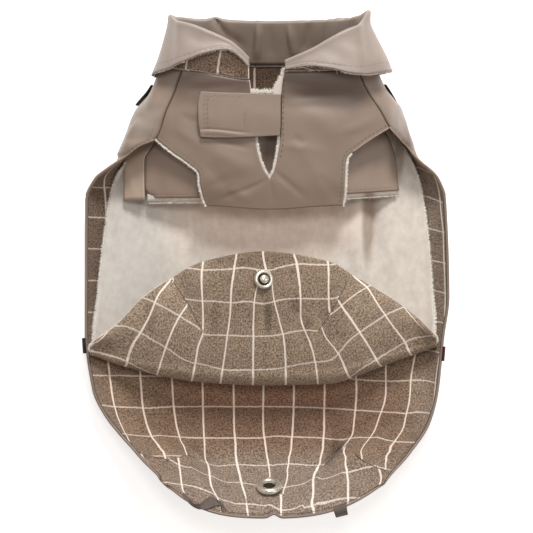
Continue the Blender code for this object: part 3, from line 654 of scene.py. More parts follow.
back = {
    # row along the side hem, height of its middle, how far tailward the middle lies, dip of the neckline
    "rows": ((149, 8.6, 0, 7.0), (136, 3.4, 0, 4.0), (122, 0.7, 0, 1.5), (93, 0.6, 0, 0), (-92, 0.6, 0, 0),
             (-104, 0.6, 4, 0), (-116, 0.8, 8, 0), (-129, 6.0, 12, 0), (-140, 17.0, 16, 0),
             (-150, 32.0, 19, 0), (-159.5, 52.0, 24, 0)),
    # row, end of the flat part, widest place, where the cloth ends and how high: -1 is at the chest seam
    "left": ((149, 50, 76.5, 61.5, -1), (128, 60, 85, 67.3, -1), (114, 70, 97, 73.2, -1),
             (93.4, 82, 105, 80.6, -1), (88, 85, 107.3, 93, 35), (80, 90, 111, 104, 31),
             (72, 95, 118.8, 116.5, 26.5), (64, 100, 127, 126.6, 22), (48, 107, 133.9, 133.9, 16.5),
             (-50, 113, 134.2, 134.2, 15), (-92, 106, 128.8, 128.8, 17), (-116, 86, 116.3, 116.3, 20),
             (-140, 54, 95, 95, 28), (-159.5, 30, 73.5, 73.5, 38)),
    "right": ((149, 52, 80, 67, -1), (128, 62, 89.5, 75.3, -1), (114, 70, 98.8, 84, -1),
              (101.5, 78, 105.2, 90.8, -1), (93.4, 83, 108.5, 98.4, 34), (80, 92, 115.5, 110.5, 28),
              (64, 103, 129, 127.5, 21), (48, 108, 133.4, 133.4, 17), (-23, 115, 136, 136, 15),
              (-52, 112, 132.2, 132.2, 15), (-92, 106, 128, 128, 17), (-116, 90, 121.6, 121.6, 20),
              (-140, 58, 105, 105, 28), (-159.5, 32, 85.5, 85.5, 38)),
    "flatShare": 0.42,
    "nickAt": 5.8,  # x of the small nick in the tail hem
    "nick": 3.4,
    "wall": 0.9,
    "liningWall": 0.7,
    "liningLift": 1.35,
    "folds": ((186, 446, 207, 462, 6, -3.2, 2.5), (168, 463, 212, 470, 5, 1.6, 1.2),
              (347, 439, 323, 468, 3.4, -4.2, 0.4), (345, 441, 332, 458, 2.6, -2.0, 0.6),
              (356, 446, 333, 474, 7, 2.2), (271, 434, 273, 480, 2.6, -1.8, 2.0),
              (273, 470, 273, 520, 5, -1.6, 1.5), (140, 455, 110, 425, 9, 0.8), (398, 440, 420, 412, 9, 1.0),
              (236, 492, 330, 492, 6, 0.8), (200, 480, 236, 498, 6, -0.9), (310, 500, 352, 484, 6, -0.9),
              (160, 78, 149, 104, 5, -1.8, 1.8), (138, 122, 126, 148, 5, -1.8, 1.8),
              (148, 106, 140, 122, 6, 1.2), (156, 112, 148, 134, 5, -1.2, 1.6),
              (398, 108, 406, 146, 4, -2.6, 0.5), (409, 122, 424, 160, 5, 1.5, 1.5),
              (390, 92, 398, 112, 5, -1.2)),
}


def chestHeight(x, y):
    return chestCrown(y) - 4.5 * (x / 80) ** 2


chestCrown = smoothLine((150, 112, 93, 62, 41), (43, 43, 41.5, 38, 33))
backBase, backSag, backDip = columnsOf(back["rows"])
backSides = {}
for side, label in ((-1, "left"), (1, "right")):
    ends = [row if row[4] >= 0 else (*row[:4], float(chestHeight(row[3], row[0]))) for row in back[label]]
    backSides[side] = columnsOf(ends)


def shellPoint(row, column):
    row, column = np.broadcast_arrays(np.asarray(row, float), np.asarray(column, float))
    left, right = ([read(row) for read in backSides[side]] for side in (-1, 1))
    flat, out, end, rise = (np.where(column < 0, *both) for both in zip(left, right))
    height = backBase(row)
    reach = np.abs(column) / back["flatShare"]
    turn = np.clip((reach - 1) / (1 / back["flatShare"] - 1), 0, 1)
    wrap = np.clip((out - end) / 9, 0, 1)
    bulge = (out - (flat + end) / 8) / 0.75
    lower, upper = (lerp(lerp(flat, out, share), bulge, wrap) for share in (0.45, 0.75))
    x = bezier(flat, lower, upper, end, turn)
    z = bezier(height, height, lerp(lerp(height, rise, 0.25), rise, wrap), rise, turn)
    x, z = np.where(reach <= 1, flat * reach, x), np.where(reach <= 1, height, z)
    y = row - backSag(row) * (1 - np.minimum(np.abs(x) / out, 1) ** 2.8) - backDip(row) * turn**2
    return np.stack([np.where(column < 0, -x, x), y, z], -1)


def shellColumn(row, x):  # the column whose point lies at x
    out, end = (np.where(x < 0, backSides[-1][k](row), backSides[1][k](row)) for k in (1, 2))
    side, low = np.where(x < 0, -1.0, 1.0), np.zeros(np.shape(x))
    high = np.where(out - end < 9, 1.0, 0.5 + back["flatShare"] / 2)
    for _ in range(24):
        half = (low + high) / 2
        inside = np.abs(shellPoint(row, side * half)[..., 0]) < np.abs(x)
        low, high = np.where(inside, half, low), np.where(inside, high, half)
    return side * low


def shellRaised(row, column, height):
    across = shellPoint(row, column + 0.004) - shellPoint(row, column - 0.004)
    down = shellPoint(row + 0.5, column) - shellPoint(row - 0.5, column)
    return shellPoint(row, column) + unit(np.cross(across, down)) * np.asarray(height)[..., None]


def makeBack():
    half = spread(0, back["flatShare"], 36, 1, 36)
    columns = np.concatenate([-half[:0:-1], half])
    rows = spread(149, 101.5, 24, 48, 40, -92, 56, -128, 24, -159.5, 30)
    grid = shellPoint(rows[:, None], columns[None])
    uneven = 0.25 * ripples(grid[..., 0], grid[..., 1], 60, 3) * smoothStep(3, 12, grid[..., 2])
    grid = moved(grid, foldsAt(grid, back["folds"]) + uneven)
    nick = np.exp(-(((grid[..., 0] - back["nickAt"]) / 3.6) ** 2)) * smoothStep(-146, -159.5, rows)[:, None]
    grid[..., 1] += back["nick"] * nick
    grid[..., 2] = np.maximum(grid[..., 2], back["wall"] / 2 + 0.05)
    clothPiece("shellCloth", [grid], back["wall"], "coatedShell", ["shell_back"],
               [unrolled(grid, 60, len(half) - 1) / 10])
    return grid, rows


shellGrid, shellRowAt = makeBack()
print("shell made")


def thinPlate(sites, values, smooth=0.02):
    sites, values = np.array(sites, float), np.array(values, float)
    size = len(sites)

    def bend(a, b):
        r = np.linalg.norm(a[:, None] - b[None], axis=-1) / 50
        return np.where(r > 0, r * r * np.log(np.maximum(r, 1e-9)), 0)

    system = np.zeros((size + 3, size + 3))
    system[:size, :size] = bend(sites, sites) + smooth * np.eye(size)
    system[:size, size] = system[size, :size] = 1
    system[:size, size + 1 :] = sites / 50
    system[size + 1 :, :size] = sites.T / 50
    solved = np.linalg.solve(system, np.concatenate([values, np.zeros(3)]))

    def read(at):
        flat = at.reshape(-1, 2)
        linear = solved[size] + flat @ solved[size + 1 :] / 50
        return (bend(flat, sites) @ solved[:size] + linear).reshape(at.shape[:-1])

    return read


def onCloth(grid, distances, px, py, allowed=None):  # a place in the picture, as distances over the cloth
    seenX, seenY = picture(grid)
    off = (seenX - px) ** 2 + (seenY - py) ** 2
    if allowed is not None:
        off = np.where(allowed, off, 1e9)
    i, j = np.unravel_index(np.argmin(off), off.shape)
    i0, j0 = min(max(i, 1), grid.shape[0] - 2), min(max(j, 1), grid.shape[1] - 2)
    slopes = []
    for seen in (seenX, seenY):
        slopes.append([(seen[i0 + 1, j0] - seen[i0 - 1, j0]) / 2, (seen[i0, j0 + 1] - seen[i0, j0 - 1]) / 2])
    miss = np.array([px - seenX[i, j], py - seenY[i, j]])
    step = np.linalg.lstsq(np.array(slopes), miss, rcond=0.05)[0]
    di, dj = np.clip(step, -2.5, 2.5)
    down = (distances[i0 + 1, j0] - distances[i0 - 1, j0]) / 2
    across = (distances[i0, j0 + 1] - distances[i0, j0 - 1]) / 2
    return distances[i, j] + down * di + across * dj


def checkMap(grid, distances, upright, level, allowed=None, smooth=0.02):  # in repeats of the check
    maps = []
    for lines in (upright, level):
        sites, values = [], []
        for number, *places in lines:
            for px, py in places:
                sites.append(onCloth(grid, distances, px, py, allowed))
                values.append(number)
        maps.append(thinPlate(sites, values, smooth)(distances))
    return np.stack(maps, -1)


liningCheck = {
    "upright": (
        (-5, (108, 361), (110, 379), (114, 405), (123.5, 431), (128.5, 441), (104.8, 177), (105, 193),
         (106, 211)),
        (-4, (140, 370), (141, 385), (143, 408.5), (147, 425), (154.6, 441), (161, 450), (166, 457)),
        (-3, (172, 377), (173, 397), (175, 416), (179.5, 436), (184, 447)),
        (-2, (202.5, 383), (203, 410), (204, 437), (205.6, 462), (209.4, 472), (211.8, 489.4), (218, 499)),
        (-1, (233.6, 385), (234, 410), (235.5, 441), (236.7, 463), (240.4, 478), (243.6, 491), (248, 515.5)),
        (0, (263.5, 385), (263, 410), (264, 437), (268, 459.5), (270.5, 476.5), (272, 500), (273.5, 513)),
        (1, (294, 385), (293.6, 412), (292, 437), (288, 464.4), (285, 488), (281, 494), (281, 515.4)),
        (2, (324.7, 385), (324, 412), (323.4, 437), (320, 464), (313.5, 480), (313.5, 493), (315, 516)),
        (3, (356, 375), (355.7, 406), (353.3, 431), (350.8, 438)),
        (4, (386, 362), (386, 393.5), (384.4, 403.5), (379.4, 416), (370.7, 436), (362, 456)),
        (5, (415, 355), (410.5, 380), (405.5, 417), (395.5, 442), (385, 464)),
        (6, (434.5, 176.5), (440, 197), (442, 217), (443.7, 233), (444, 253), (445.5, 291), (445, 311),
         (444, 327), (436.6, 375), (434, 402), (430.4, 414.7)),
        (0, (254.5, 68), (254.5, 90)),
    ),
    "level": (
        (-6, (105, 187.5), (424, 195.4), (441, 202)),
        (-5, (105, 217.6), (427, 228), (446, 232.7)),
        (-4, (105, 248.8), (430, 260), (444, 263)),
        (-3, (105, 280.4), (433.6, 290.4), (444, 293)),
        (-2, (437, 321.6), (444, 323)),
        (0, (91, 375.5), (110, 375.5), (140, 376), (172, 376), (344.6, 378), (362, 380), (385.6, 381),
         (409, 380.5), (423, 380), (435, 383)),
        (1, (103.6, 405.4), (113.6, 407), (142, 408), (167, 406.6), (202.5, 406.6), (234, 406.6),
         (275, 406.6), (293.6, 407), (324, 408), (355, 410), (379, 411.6), (405.5, 414), (416.7, 412),
         (430, 413.4)),
        (2, (127, 434.6), (153, 437), (179.5, 437), (204, 437.7), (234, 438), (264, 438), (271, 436),
         (292, 437), (323, 438), (342, 440), (361, 437), (368, 438), (397, 442), (415.4, 442.7)),
        (3, (146, 456), (166, 456), (208, 464.5), (236.7, 465), (260, 466), (275, 465), (296, 464),
         (310, 466)),
        (4, (240, 482.5), (258, 486), (286, 488), (297, 485)),
        (5, (229, 502), (250, 504), (269, 504), (275, 508.6), (298.5, 507), (316, 505.5)),
    ),
    "rimLeft": (
        ((-4, (134, 462), (139, 476)), (-3, (178.5, 460), (180, 472), (182, 488)),
         (-2, (205.6, 460), (209.4, 472), (212, 489), (218, 499)),
         (-1, (236.7, 463), (240.4, 478), (243.6, 491), (248, 515)),
         (0, (268, 460), (270.5, 476.5), (272, 500))),
        ((3, (208, 464.5), (236.7, 465), (260, 466)),
         (4, (150, 446), (160, 452), (182, 466.5), (209, 475), (240, 482.5), (258, 486)),
         (5, (183, 485), (192, 486), (210.6, 492.5), (229, 502), (250, 504), (269, 504))),
    ),
    "rimRight": (
        ((0, (268, 460), (270.5, 476.5), (272, 500)), (1, (288, 464.4), (285, 488), (281, 515.4)),
         (2, (319, 470), (313.5, 473), (313.5, 493), (315, 517)),
         (3, (344, 453), (346, 468), (348, 493), (348, 506)), (4, (379.4, 472), (380.6, 483))),
        ((3, (296, 464), (310, 466), (322, 467)), (3.3, (336, 458), (348, 451)),
         (4, (286, 488), (297, 485), (308.5, 479), (334.6, 476), (347, 473),
         (358, 470), (375, 466)), (5, (298.5, 507), (316, 505.5), (332, 501), (347, 498), (361, 498))),
    ),
    "tail": (  # a pleat at the socket takes up one repeat below it
        (-2, (211.8, 489.4), (218, 499)), (-1, (243.6, 491), (248, 515.5)), (0, (281, 494), (281, 515.4)),
        (1, (313.5, 493), (315, 516)),
    ),
    "dartLeft": ((137, 453), (167, 459.5), (186, 456), (204, 461)),
    "dartRight": ((395, 472), (383, 470), (361, 460), (346, 446), (338, 452), (324, 467)),
}


def liningFields(grid):
    distances = unrolled(grid, 60, grid.shape[1] // 2)
    px, py = picture(grid)
    whole = checkMap(grid, distances, liningCheck["upright"], liningCheck["level"])
    fields = [whole]
    for key, start, end in (("rimLeft", 205, 236), ("rimRight", 316, 298)):
        rim = checkMap(grid, distances, *liningCheck[key], allowed=py > 455)
        share = np.clip((px - start) / (end - start), 0, 1)[..., None]
        fields.append(lerp(rim, whole, share * share * (3 - 2 * share)))
    tail = checkMap(grid, distances, liningCheck["tail"], liningCheck["level"], allowed=py > 455)
    return np.stack([*fields, np.stack([tail[..., 0], whole[..., 1]], -1)])


def liningSector(px, py):
    left = np.interp(px, *zip(*liningCheck["dartLeft"]))
    right = np.interp(px, *zip(*sorted(liningCheck["dartRight"])))
    low = (px > 246) & (px < 298) & (py > 494)
    return np.where((px < 240) & (py > left), 1, np.where((px > 298) & (py > right), 2, np.where(low, 3, 0)))


def drawnIn(grid, first=0, last=0, left=0, right=0):  # the border, drawn towards the points beside it
    grid, every = grid.copy(), slice(None)
    for distance, edge, beside in ((first, (0,), (1,)), (last, (-1,), (-2,)),
                                   (left, (every, 0), (every, 1)), (right, (every, -1), (every, -2))):
        grid[edge] += unit(grid[beside] - grid[edge]) * distance
    return grid


def makeLining():
    grid = drawnIn(moved(shellGrid, back["liningLift"]), 0.5, 1.0, 1.0, 1.0)
    clothPiece("liningCloth", [grid], back["liningWall"], "checkLining", ["shell_lining"],
               [liningFields(grid)], choose=liningSector)
    return grid


liningGrid = makeLining()
print("lining made")


chest = {
    "seamEnd": {-1: 93.4, 1: 101.5},
    "armhole": {
        -1: ((156.2, 138.5), (166.1, 146.7), (174.7, 153.2), (183.4, 159.2), (192, 165.7), (197, 169.8),
             (199.6, 174.5), (199.9, 182), (201.4, 189), (203.2, 196), (205.3, 202), (208, 206.2)),
        1: ((390.1, 127), (378.9, 133.7), (367.7, 140.8), (356.4, 149), (349, 154.2), (346.2, 159.6),
            (345.3, 171), (344.8, 181.6), (344.2, 192), (343.4, 200), (342, 205.6)),
    },
    # y at the edge, y at the slit: the rows run from one to the other
    "middle": {
        -1: ((149, 138), (141, 129), (128, 118), (114, 108), (103, 99), (93.4, 92), (81, 82), (69.4, 70),
             (62.5, 61.9), (52, 51), (43.8, 41.1)),
        1: ((149, 138), (141, 129), (130, 118), (120, 108), (110, 99), (101.5, 92), (92.7, 82), (83.3, 70),
            (74, 61.9), (58, 51), (43.8, 41.1)),
    },
    "slit": ((138, -12.2, 13.7), (130, -11.4, 11.9), (120, -10.8, 11.0), (108, -10, 10.8), (92, -7.7, 10.2),
             (82, -6, 8.9), (70, -1.8, 6.2), (61.9, 2.9, 2.9), (41, 2.9, 2.9)),
    # y, how far the backing's raw edge shows past the left front and past the right front
    "peep": ((138, 0.4, 0.8), (132, 0.6, 3.0), (127, 1.0, 6.5), (110, 1.0, 6.5), (98, 1.2, 3.0),
             (92, 1.5, 1.5), (70, 1.5, 1.5), (62, 0.5, 0.5), (50, 0, 0)),
    "holePeep": ((105, 1.0, 0.0), (92, 1.1, 0.0), (85, 1.2, 0.1), (80.5, 1.3, 1.4), (40, 1.3, 1.4)),
    "neckSkew": 2.9,
    "neckRise": 4.4,
    "cloth": 0.7,
    "backing": 1.0,
    "apart": 0.45,  # of the cloth and the backing from the middle of the chest
    "folds": ((262, 180, 222, 200, 4, -0.6, 2.0), (278, 172, 303, 198, 3.5, -0.6),
              (272, 184, 272, 202, 3, -0.4), (294, 137, 303, 144, 4, -0.5), (215, 150, 250, 172, 9, 0.9),
              (292, 102, 352, 104, 4, 0.7, 0.8), (300, 150, 330, 190, 9, 0.6), (176, 96, 164, 132, 5, 0.6),
              (345, 132, 374, 118, 5, 0.5), (230, 190, 250, 200, 5, 0.5), (210, 185, 240, 178, 5, -0.4),
              (182, 116, 199, 122, 4, -0.5), (178, 128, 205, 150, 6, 0.6), (212, 142, 248, 146, 3, -0.5),
              (206, 168, 236, 190, 7, -0.5), (310, 110, 340, 140, 10, 0.6), (286, 146, 322, 152, 5, 0.4),
              (322, 178, 340, 200, 6, -0.4), (190, 86, 238, 89, 5, -1.3, 0.6),
              (296, 94, 352, 95, 7, -2.0, 0.6)),
}


def onChest(px, py, lift=0.0):  # points of the chest behind places in the picture
    px, py = np.asarray(px, float), np.asarray(py, float)
    height = np.full(px.shape, 40.0)
    for _ in range(4):
        x, y = behind(px, py, height)
        height = chestHeight(x, y) + lift
    return np.stack([x, y, height], -1)


def chestHalf(side, headRows, tailRows, columns, peep=False):
    k = 0 if side < 0 else 1
    edgeY, middleOf = zip(*chest["middle"][side])
    headY, tailY = np.linspace(138, 92, headRows), np.linspace(92, 41.1, tailRows + 1)[1:]
    seam = shellPoint(smoothLine(middleOf, edgeY)(headY), float(side))[:, :2]
    seam[:, 0] -= side * 0.6
    hole = onChest(*zip(*chest["armhole"][side]))[:, :2]
    at = along(hole)
    hole = np.stack([smoothLine(at, line)(np.linspace(0, at[-1], 300)) for line in hole.T], -1)
    if peep:
        way = np.gradient(hole, axis=0)
        out = np.stack([-way[:, 1], way[:, 0]], -1) * side
        hole = hole + unit(out) * columnsOf(chest["holePeep"])[k](hole[:, 1])[:, None]
    reached = smoothLine(edgeY, middleOf)(hole[:, 1])[::-1]
    hole = np.stack([np.interp(tailY, reached, hole[::-1, n]) for n in (0, 1)], -1)
    middleY, edge = np.concatenate([headY, tailY]), np.concatenate([seam, hole])
    slitX = columnsOf(chest["slit"])[k](middleY)
    if peep:
        slitX = slitX - side * columnsOf(chest["peep"])[k](middleY)
    slitY = middleY + side * chest["neckSkew"] * np.clip((middleY - 99) / 39, 0, 1)
    t = np.linspace(0, 1, columns)
    x = lerp(edge[:, :1], slitX[:, None], t)
    y = lerp(edge[:, 1:], slitY[:, None], t * t * (3 - 2 * t))
    grid = np.stack([x, y, chestHeight(x, y)], -1)
    grid[..., 2] += foldsAt(grid, chest["folds"]) + 0.3 * ripples(x, y, 45, 11)
    grid[..., 2] += chest["neckRise"] * smoothStep(115, 141, y) - 0.6
    return grid if side < 0 else grid[:, ::-1]


def makeChest():
    halves = [chestHalf(side, 30, 52, 58) for side in (-1, 1)]
    faces = [grid + chest["apart"] * upward for grid in halves]
    clothPiece("chestCloth", faces, chest["cloth"], "coatedChest", ["chest_panel"])
    backs = [chestHalf(side, 24, 44, 46, True) - chest["apart"] * upward for side in (-1, 1)]
    clothPiece("chestBacking", backs, chest["backing"], "fleece")
    return halves


chestHalves = makeChest()

tab = {
    "left": ((91.7, 200.6), (98, 198.9), (106.7, 197.9), (123, 198.4), (132.7, 200), (137.2, 200.6)),
    "right": ((94.2, 280.8), (115, 280.6), (135.4, 280)),
    "top": ((197, 91.3), (223, 92.6), (249, 93.1), (281, 94.2)),
    "bottom": ((197, 137.0), (213, 137.7), (229, 137.9), (245, 137.2), (267, 136.2), (281, 135.3)),
    "lift": 2.1,
    "free": 1.6,
    "wall": 1.5,
    "folds": ((199, 134.6, 250, 134.2, 2.1, 0.42), (199, 131.0, 245, 131.0, 1.1, -0.42),
              (244, 112, 244.5, 128, 1.2, -0.25), (206.5, 96, 206.5, 130, 1.6, -0.2)),
}


def makeTab():
    across, down = np.linspace(0, 1, 70), np.linspace(0, 1, 44)[:, None]
    leftX, rightX = (smoothLine(*zip(*tab[k])) for k in ("left", "right"))
    topY, bottomY = (smoothLine(*zip(*tab[k])) for k in ("top", "bottom"))
    px = lerp(199 + 0 * down, 281, across)
    for _ in range(3):
        py = lerp(topY(px), bottomY(px), down)
        px = lerp(leftX(py), rightX(py), across)
    grid = onChest(px, py, tab["lift"])
    uneven = 0.15 * ripples(grid[..., 0], grid[..., 1], 26, 5)
    grid[..., 2] += tab["free"] * (1 - across) ** 3 + foldsAt(grid, tab["folds"]) + uneven
    clothPiece("strap", [grid], tab["wall"], "coatedTab", ["chest_tab"], soft=0.55)
    return grid


tabGrid = makeTab()
print("chest made")


band = {
    # y, its left end, its right end, height of its ends, and how far its middle lies below the chest
    "rows": ((115, -68, 72, 34.5, 1.9), (104, -88, 84, 21, 3.6), (90, -98, 92, 15, 4.2),
             (77, -105.6, 96, 12.8, 4.4), (50, -105.8, 99, 11.6, 4.4)),
    "tilt": 6.0,
    "seam": 0.078,
    "wall": 0.9,
    "fleeceWall": 1.6,
    "peep": 3.3,
    "corner": 6.0,
    "notchFold": (268, 128, 269, 182, 13, -5.0),
    "folds": ((396, 142, 398, 186, 3, -1.2), (386, 138, 388, 176, 5, 0.8), (128, 168, 132, 196, 4, 0.7),
              (165, 165, 170, 196, 7, 0.5), (370, 160, 366, 190, 7, 0.5)),
}


def bandGrid(first, last, steps, rowAt):
    left, right, side, drop = columnsOf(band["rows"])
    y, share = rowAt[:, None], np.linspace(first, last, steps + 1)[None]
    x = lerp(left(y), right(y), share)
    moreY = y + band["tilt"] * np.maximum(x / right(y), 0) ** 1.5 * (115 - y) / 65
    top = chestHeight(x, moreY) - drop(y)
    grid = np.stack([x, moreY, lerp(top, side(y), np.abs(2 * share - 1) ** 2.4)], -1)
    grid[..., 2] += foldsAt(grid, band["folds"]) * smoothStep(0.0, 0.3, np.abs(2 * share - 1))
    grid[..., 2] += foldsAt(grid, [band["notchFold"]])
    return grid


def makeBand():
    def panel(name, grid, wall, finish, node):
        clothPiece(name, [grid], wall, finish, [node], [unrolled(grid, 0, 0) / 10])

    main = bandGrid(band["seam"] + 0.001, 1, 110, np.linspace(115, 50, 46))
    corner = smoothStep(59, 50, main[..., 1]) * smoothStep(-75, -91, main[..., 0])
    main[..., 0] += band["corner"] * corner**2
    rows = np.linspace(104, 50, 38)
    narrow = drawnIn(bandGrid(0, band["seam"] - 0.001, 10, rows), last=-2.0)
    panel("bandCloth", main, band["wall"], "coatedBand", "inner_band")
    panel("bandSideCloth", narrow, band["wall"], "coatedBandSide", "inner_band_side")
    backing = bandGrid(band["seam"] + 0.001, 1, 110, np.append(rows, 49.0))
    backing = moved(backing, -(band["wall"] + band["fleeceWall"]) / 2 - 0.1)
    backing = drawnIn(backing, last=1 - band["peep"], left=1.5, right=1.5)
    panel("bandBacking", backing, band["fleeceWall"], "fleece", "band_fleece")
    return main, backing


bandMain, bandBack = makeBand()
print("band made")


liner = {
    "sides": ((112, -80, 82), (94, -96, 101), (81, -106, 111), (70, -113.5, 115), (56, -117, 117.5),
              (34, -120.5, 121), (7, -125, 124), (-23, -128.5, 127), (-41, -131.5, 129.5), (-62, -133, 129)),
    "top": 112,
    "lift": 3.4,
    # x at the fold, y of the fold, y and height of the free edge, radius of the fold
    "flap": ((-127, -66, -56, 25, 4.6), (-109, -72, -45, 24.5, 5.5), (-88, -78, -24, 28, 8.5),
             (-69, -82.5, -10.5, 31, 10), (-45, -86, 2.6, 33, 11), (-2, -88.2, 10, 34, 11.5),
             (46, -87, 2.6, 33, 11), (63, -82, -7.5, 31, 10), (91, -71, -24.5, 28, 8),
             (108, -65, -37, 25, 6), (124, -60, -50, 25, 4.6)),
    "leave": (0, 0.95, 0.42),
    "meet": (0, 0.75, -0.34),
    "slant": 0.975,
    "darts": (((-69, -10), (-47, -43)), ((63, -7), (41, -46))),
    "dartDepth": 4.2,
    "dartWidth": 7.5,
    # x, half width and height of the soft ridges across the fleece
    "ridges": ((-46, 11, 1.6), (-8, 9, 1.2), (34, 8, 1.8), (70, 7, 3.4), (94, 8, 2.6)),
    "fleeceWall": 2.0,
    "checkWall": 0.7,
    "fleeceFolds": ((373, 186, 367, 258, 7.5, -3.6, 1.4), (357, 200, 352, 250, 7, 1.4),
                    (246, 210, 250, 250, 5, 0.6), (160, 210, 150, 280, 8, 0.8), (125, 180, 112, 300, 8, 0.9),
                    (196, 215, 188, 262, 7, -0.7), (405, 180, 415, 290, 8, 0.9),
                    (386, 190, 396, 280, 6, -0.8), (300, 205, 305, 250, 9, 0.6)),
    "flapFolds": ((265, 292, 265, 334, 4.5, -1.6), (215.5, 290, 215.5, 350, 3.5, -0.9),
                  (284, 297, 317, 334, 4, -1.0), (317, 332, 327, 352, 4.5, -1.6),
                  (240, 285, 242, 350, 9, 0.8), (196, 322, 190, 356, 5, -1.4), (300, 345, 300, 378, 10, 0.7),
                  (150, 318, 176, 350, 7, 0.8), (395, 318, 370, 344, 7, 0.8), (345, 318, 352, 350, 5, 0.7)),
    "upright": {
        "middle": (
            (-2, (203, 329.6), (203, 314.6), (202, 299.7), (201.5, 277), (202.5, 266.7)),
            (-2.8, (178, 283), (184, 292)),
            (-1, (220.5, 382.4), (224, 359.4), (227.4, 334.5), (230.5, 314.6), (231, 299.7), (231.7, 283.5),
             (233.6, 270), (237, 254.5)),
            (0, (253, 382.4), (253, 352), (253, 327), (254, 304.7), (256, 290), (259, 281), (261.5, 273)),
            (1, (285.6, 383), (285.6, 362.4), (283.7, 334.4), (278.6, 316.5), (274, 300), (271.6, 287),
             (266.5, 269.3), (263, 259)),
            (2, (318, 383), (315, 361), (310, 342), (307, 335.7), (300.5, 321.6), (301, 303.8), (300, 284.6),
             (297.7, 265.5), (293.3, 253.5)),
            (3, (328.3, 266), (328.3, 290)),
        ),
        "top": (  # a pleat at the stud takes up one repeat above it
            (-2, (201.5, 277), (202.5, 266.7)), (-1, (231.7, 283.5), (233.6, 270), (237, 254.5)),
            (0, (266.5, 269.3), (263, 259)), (1, (300, 284.6), (297.7, 265.5), (293.3, 253.5)),
            (2, (328.3, 266), (328.3, 290)),
        ),
        "left": (
            (-4, (126.6, 364.7), (130, 352.6), (141, 332.7), (149.7, 317), (156, 301), (158, 295),
             (170, 281)),
            (-4.5, (128, 316)), (-4.55, (112, 338)), (-4.6, (99, 353)),
            (-3, (157.7, 372), (165.8, 347), (172, 331), (179.5, 316), (187.5, 305)),
            (-2, (188, 378.7), (192.6, 362), (198, 345.7), (203, 335)),
            (-1, (220.5, 382.4), (224, 359.4), (227.4, 334.5)),
        ),
        "right": (
            (2, (318, 383), (315, 361), (310, 342)),
            (3, (322, 329), (325, 337), (334, 351), (341.7, 362.4), (348.8, 375)),
            (4, (338, 300), (349.4, 316.5), (359.6, 332), (370, 348.4), (379.4, 364.4)),
            (5, (355, 278), (367, 287), (377.4, 304), (385, 315), (395, 329), (410, 353)),
        ),
    },
    "level": {
        "middle": (
            (4, (202.5, 270), (217, 270), (233.6, 269), (245, 267), (254, 269.5), (270, 271), (280.5, 267),
             (297, 264), (316, 265), (328.3, 265)),
            (3, (202, 301), (217, 301), (231, 303.4), (244, 301), (254, 301.6), (263.5, 305), (274, 301),
             (287, 298.7), (302, 298.7), (316, 298.7), (328, 299)),
            (2, (208, 335), (227.4, 335), (253, 336), (274, 335.5), (283.7, 334), (297, 330.6), (306, 330),
             (317, 331)),
            (1, (205.6, 364.4), (220.5, 369.4), (255, 369.5), (274, 369), (285.6, 367), (302, 363.7),
             (315, 362)),
        ),
        "left": (
            (2, (146.5, 299), (159.6, 304.7), (179.5, 316), (194.4, 324.6), (202, 331)),
            (1, (120, 326), (141, 332.7), (152, 339.5), (165.8, 347), (179.5, 355.7), (192.6, 362.5),
             (205.6, 364.4), (220.5, 369.4)),
            (0, (100, 353), (126, 360.6)),
        ),
        "right": (
            (2, (366, 288), (354.5, 295), (342, 305), (330, 315)),
            (1, (401.7, 308), (385, 315.3), (373.6, 323), (361, 331), (344.3, 344.6), (335.4, 351),
             (321, 360), (302, 363.7)),
            (0, (425.9, 336.3), (412, 338), (401.7, 344), (390, 351), (377.4, 359.3), (364.7, 366.3),
             (353, 374)),
        ),
    },
    "dartLines": (((171.5, 279), (188, 304), (203, 332)), ((352, 275), (338, 300), (328, 316.5), (319, 331))),
}


def dartFurrow(x, y):
    depth = 0
    for (ax, ay), (bx, by) in liner["darts"]:
        t = ((x - ax) * (bx - ax) + (y - ay) * (by - ay)) / ((bx - ax) ** 2 + (by - ay) ** 2)
        held = np.clip(t, -0.3, 1)
        off = np.hypot(x - ax - (bx - ax) * held, y - ay - (by - ay) * held)
        deep = liner["dartDepth"] * (1 - 0.75 * np.maximum(held, 0))
        depth = depth + deep * np.exp(-((off / liner["dartWidth"]) ** 2))
    return depth


def linerGrid(lower=72, fold=16, flap=52, columns=131):
    share = np.linspace(0, 1, columns)
    foldX = lerp(liner["flap"][0][0], liner["flap"][-1][0], share)
    foldY, edgeY, edgeZ, radius = (read(foldX) for read in columnsOf(liner["flap"]))
    left, right = columnsOf(liner["sides"])
    t = np.linspace(0, 1, lower)[:, None]
    y = lerp(liner["top"], foldY + radius, t)
    x = lerp(left(y), right(y), share)
    fade = np.exp(-(((y - 34) / 40) ** 4))
    ridges = sum(high * np.exp(-(((x - at) / wide) ** 2)) for at, wide, high in liner["ridges"])
    points = shellRaised(y, shellColumn(y, x), liner["lift"] + fade * ridges)
    points[..., 2] += foldsAt(points, liner["fleeceFolds"]) * smoothStep(-60, -20, y)
    centre = points[-1] + radius[:, None] * upward
    angle = np.linspace(0, pi, fold + 1)[1:, None, None]
    bend = centre + radius[:, None] * np.concatenate([0 * angle, -np.sin(angle), -np.cos(angle)], -1)
    top = bend[-1]
    edge = np.stack([top[:, 0] * liner["slant"], edgeY, edgeZ], -1)
    length = np.linalg.norm(edge - top, axis=1)[:, None] / 3
    t = np.linspace(0, 1, flap + 1)[1:, None, None]
    leave, meet = (np.array(liner[key]) * length for key in ("leave", "meet"))
    rising = bezier(top, top + leave, edge - meet, edge, t)
    drop = dartFurrow(rising[..., 0], rising[..., 1]) - foldsAt(rising, liner["flapFolds"])
    rising[..., 2] -= drop * np.minimum(1.5 * t[..., 0], 1)
    return np.concatenate([points, bend, rising]), lower, lower + fold


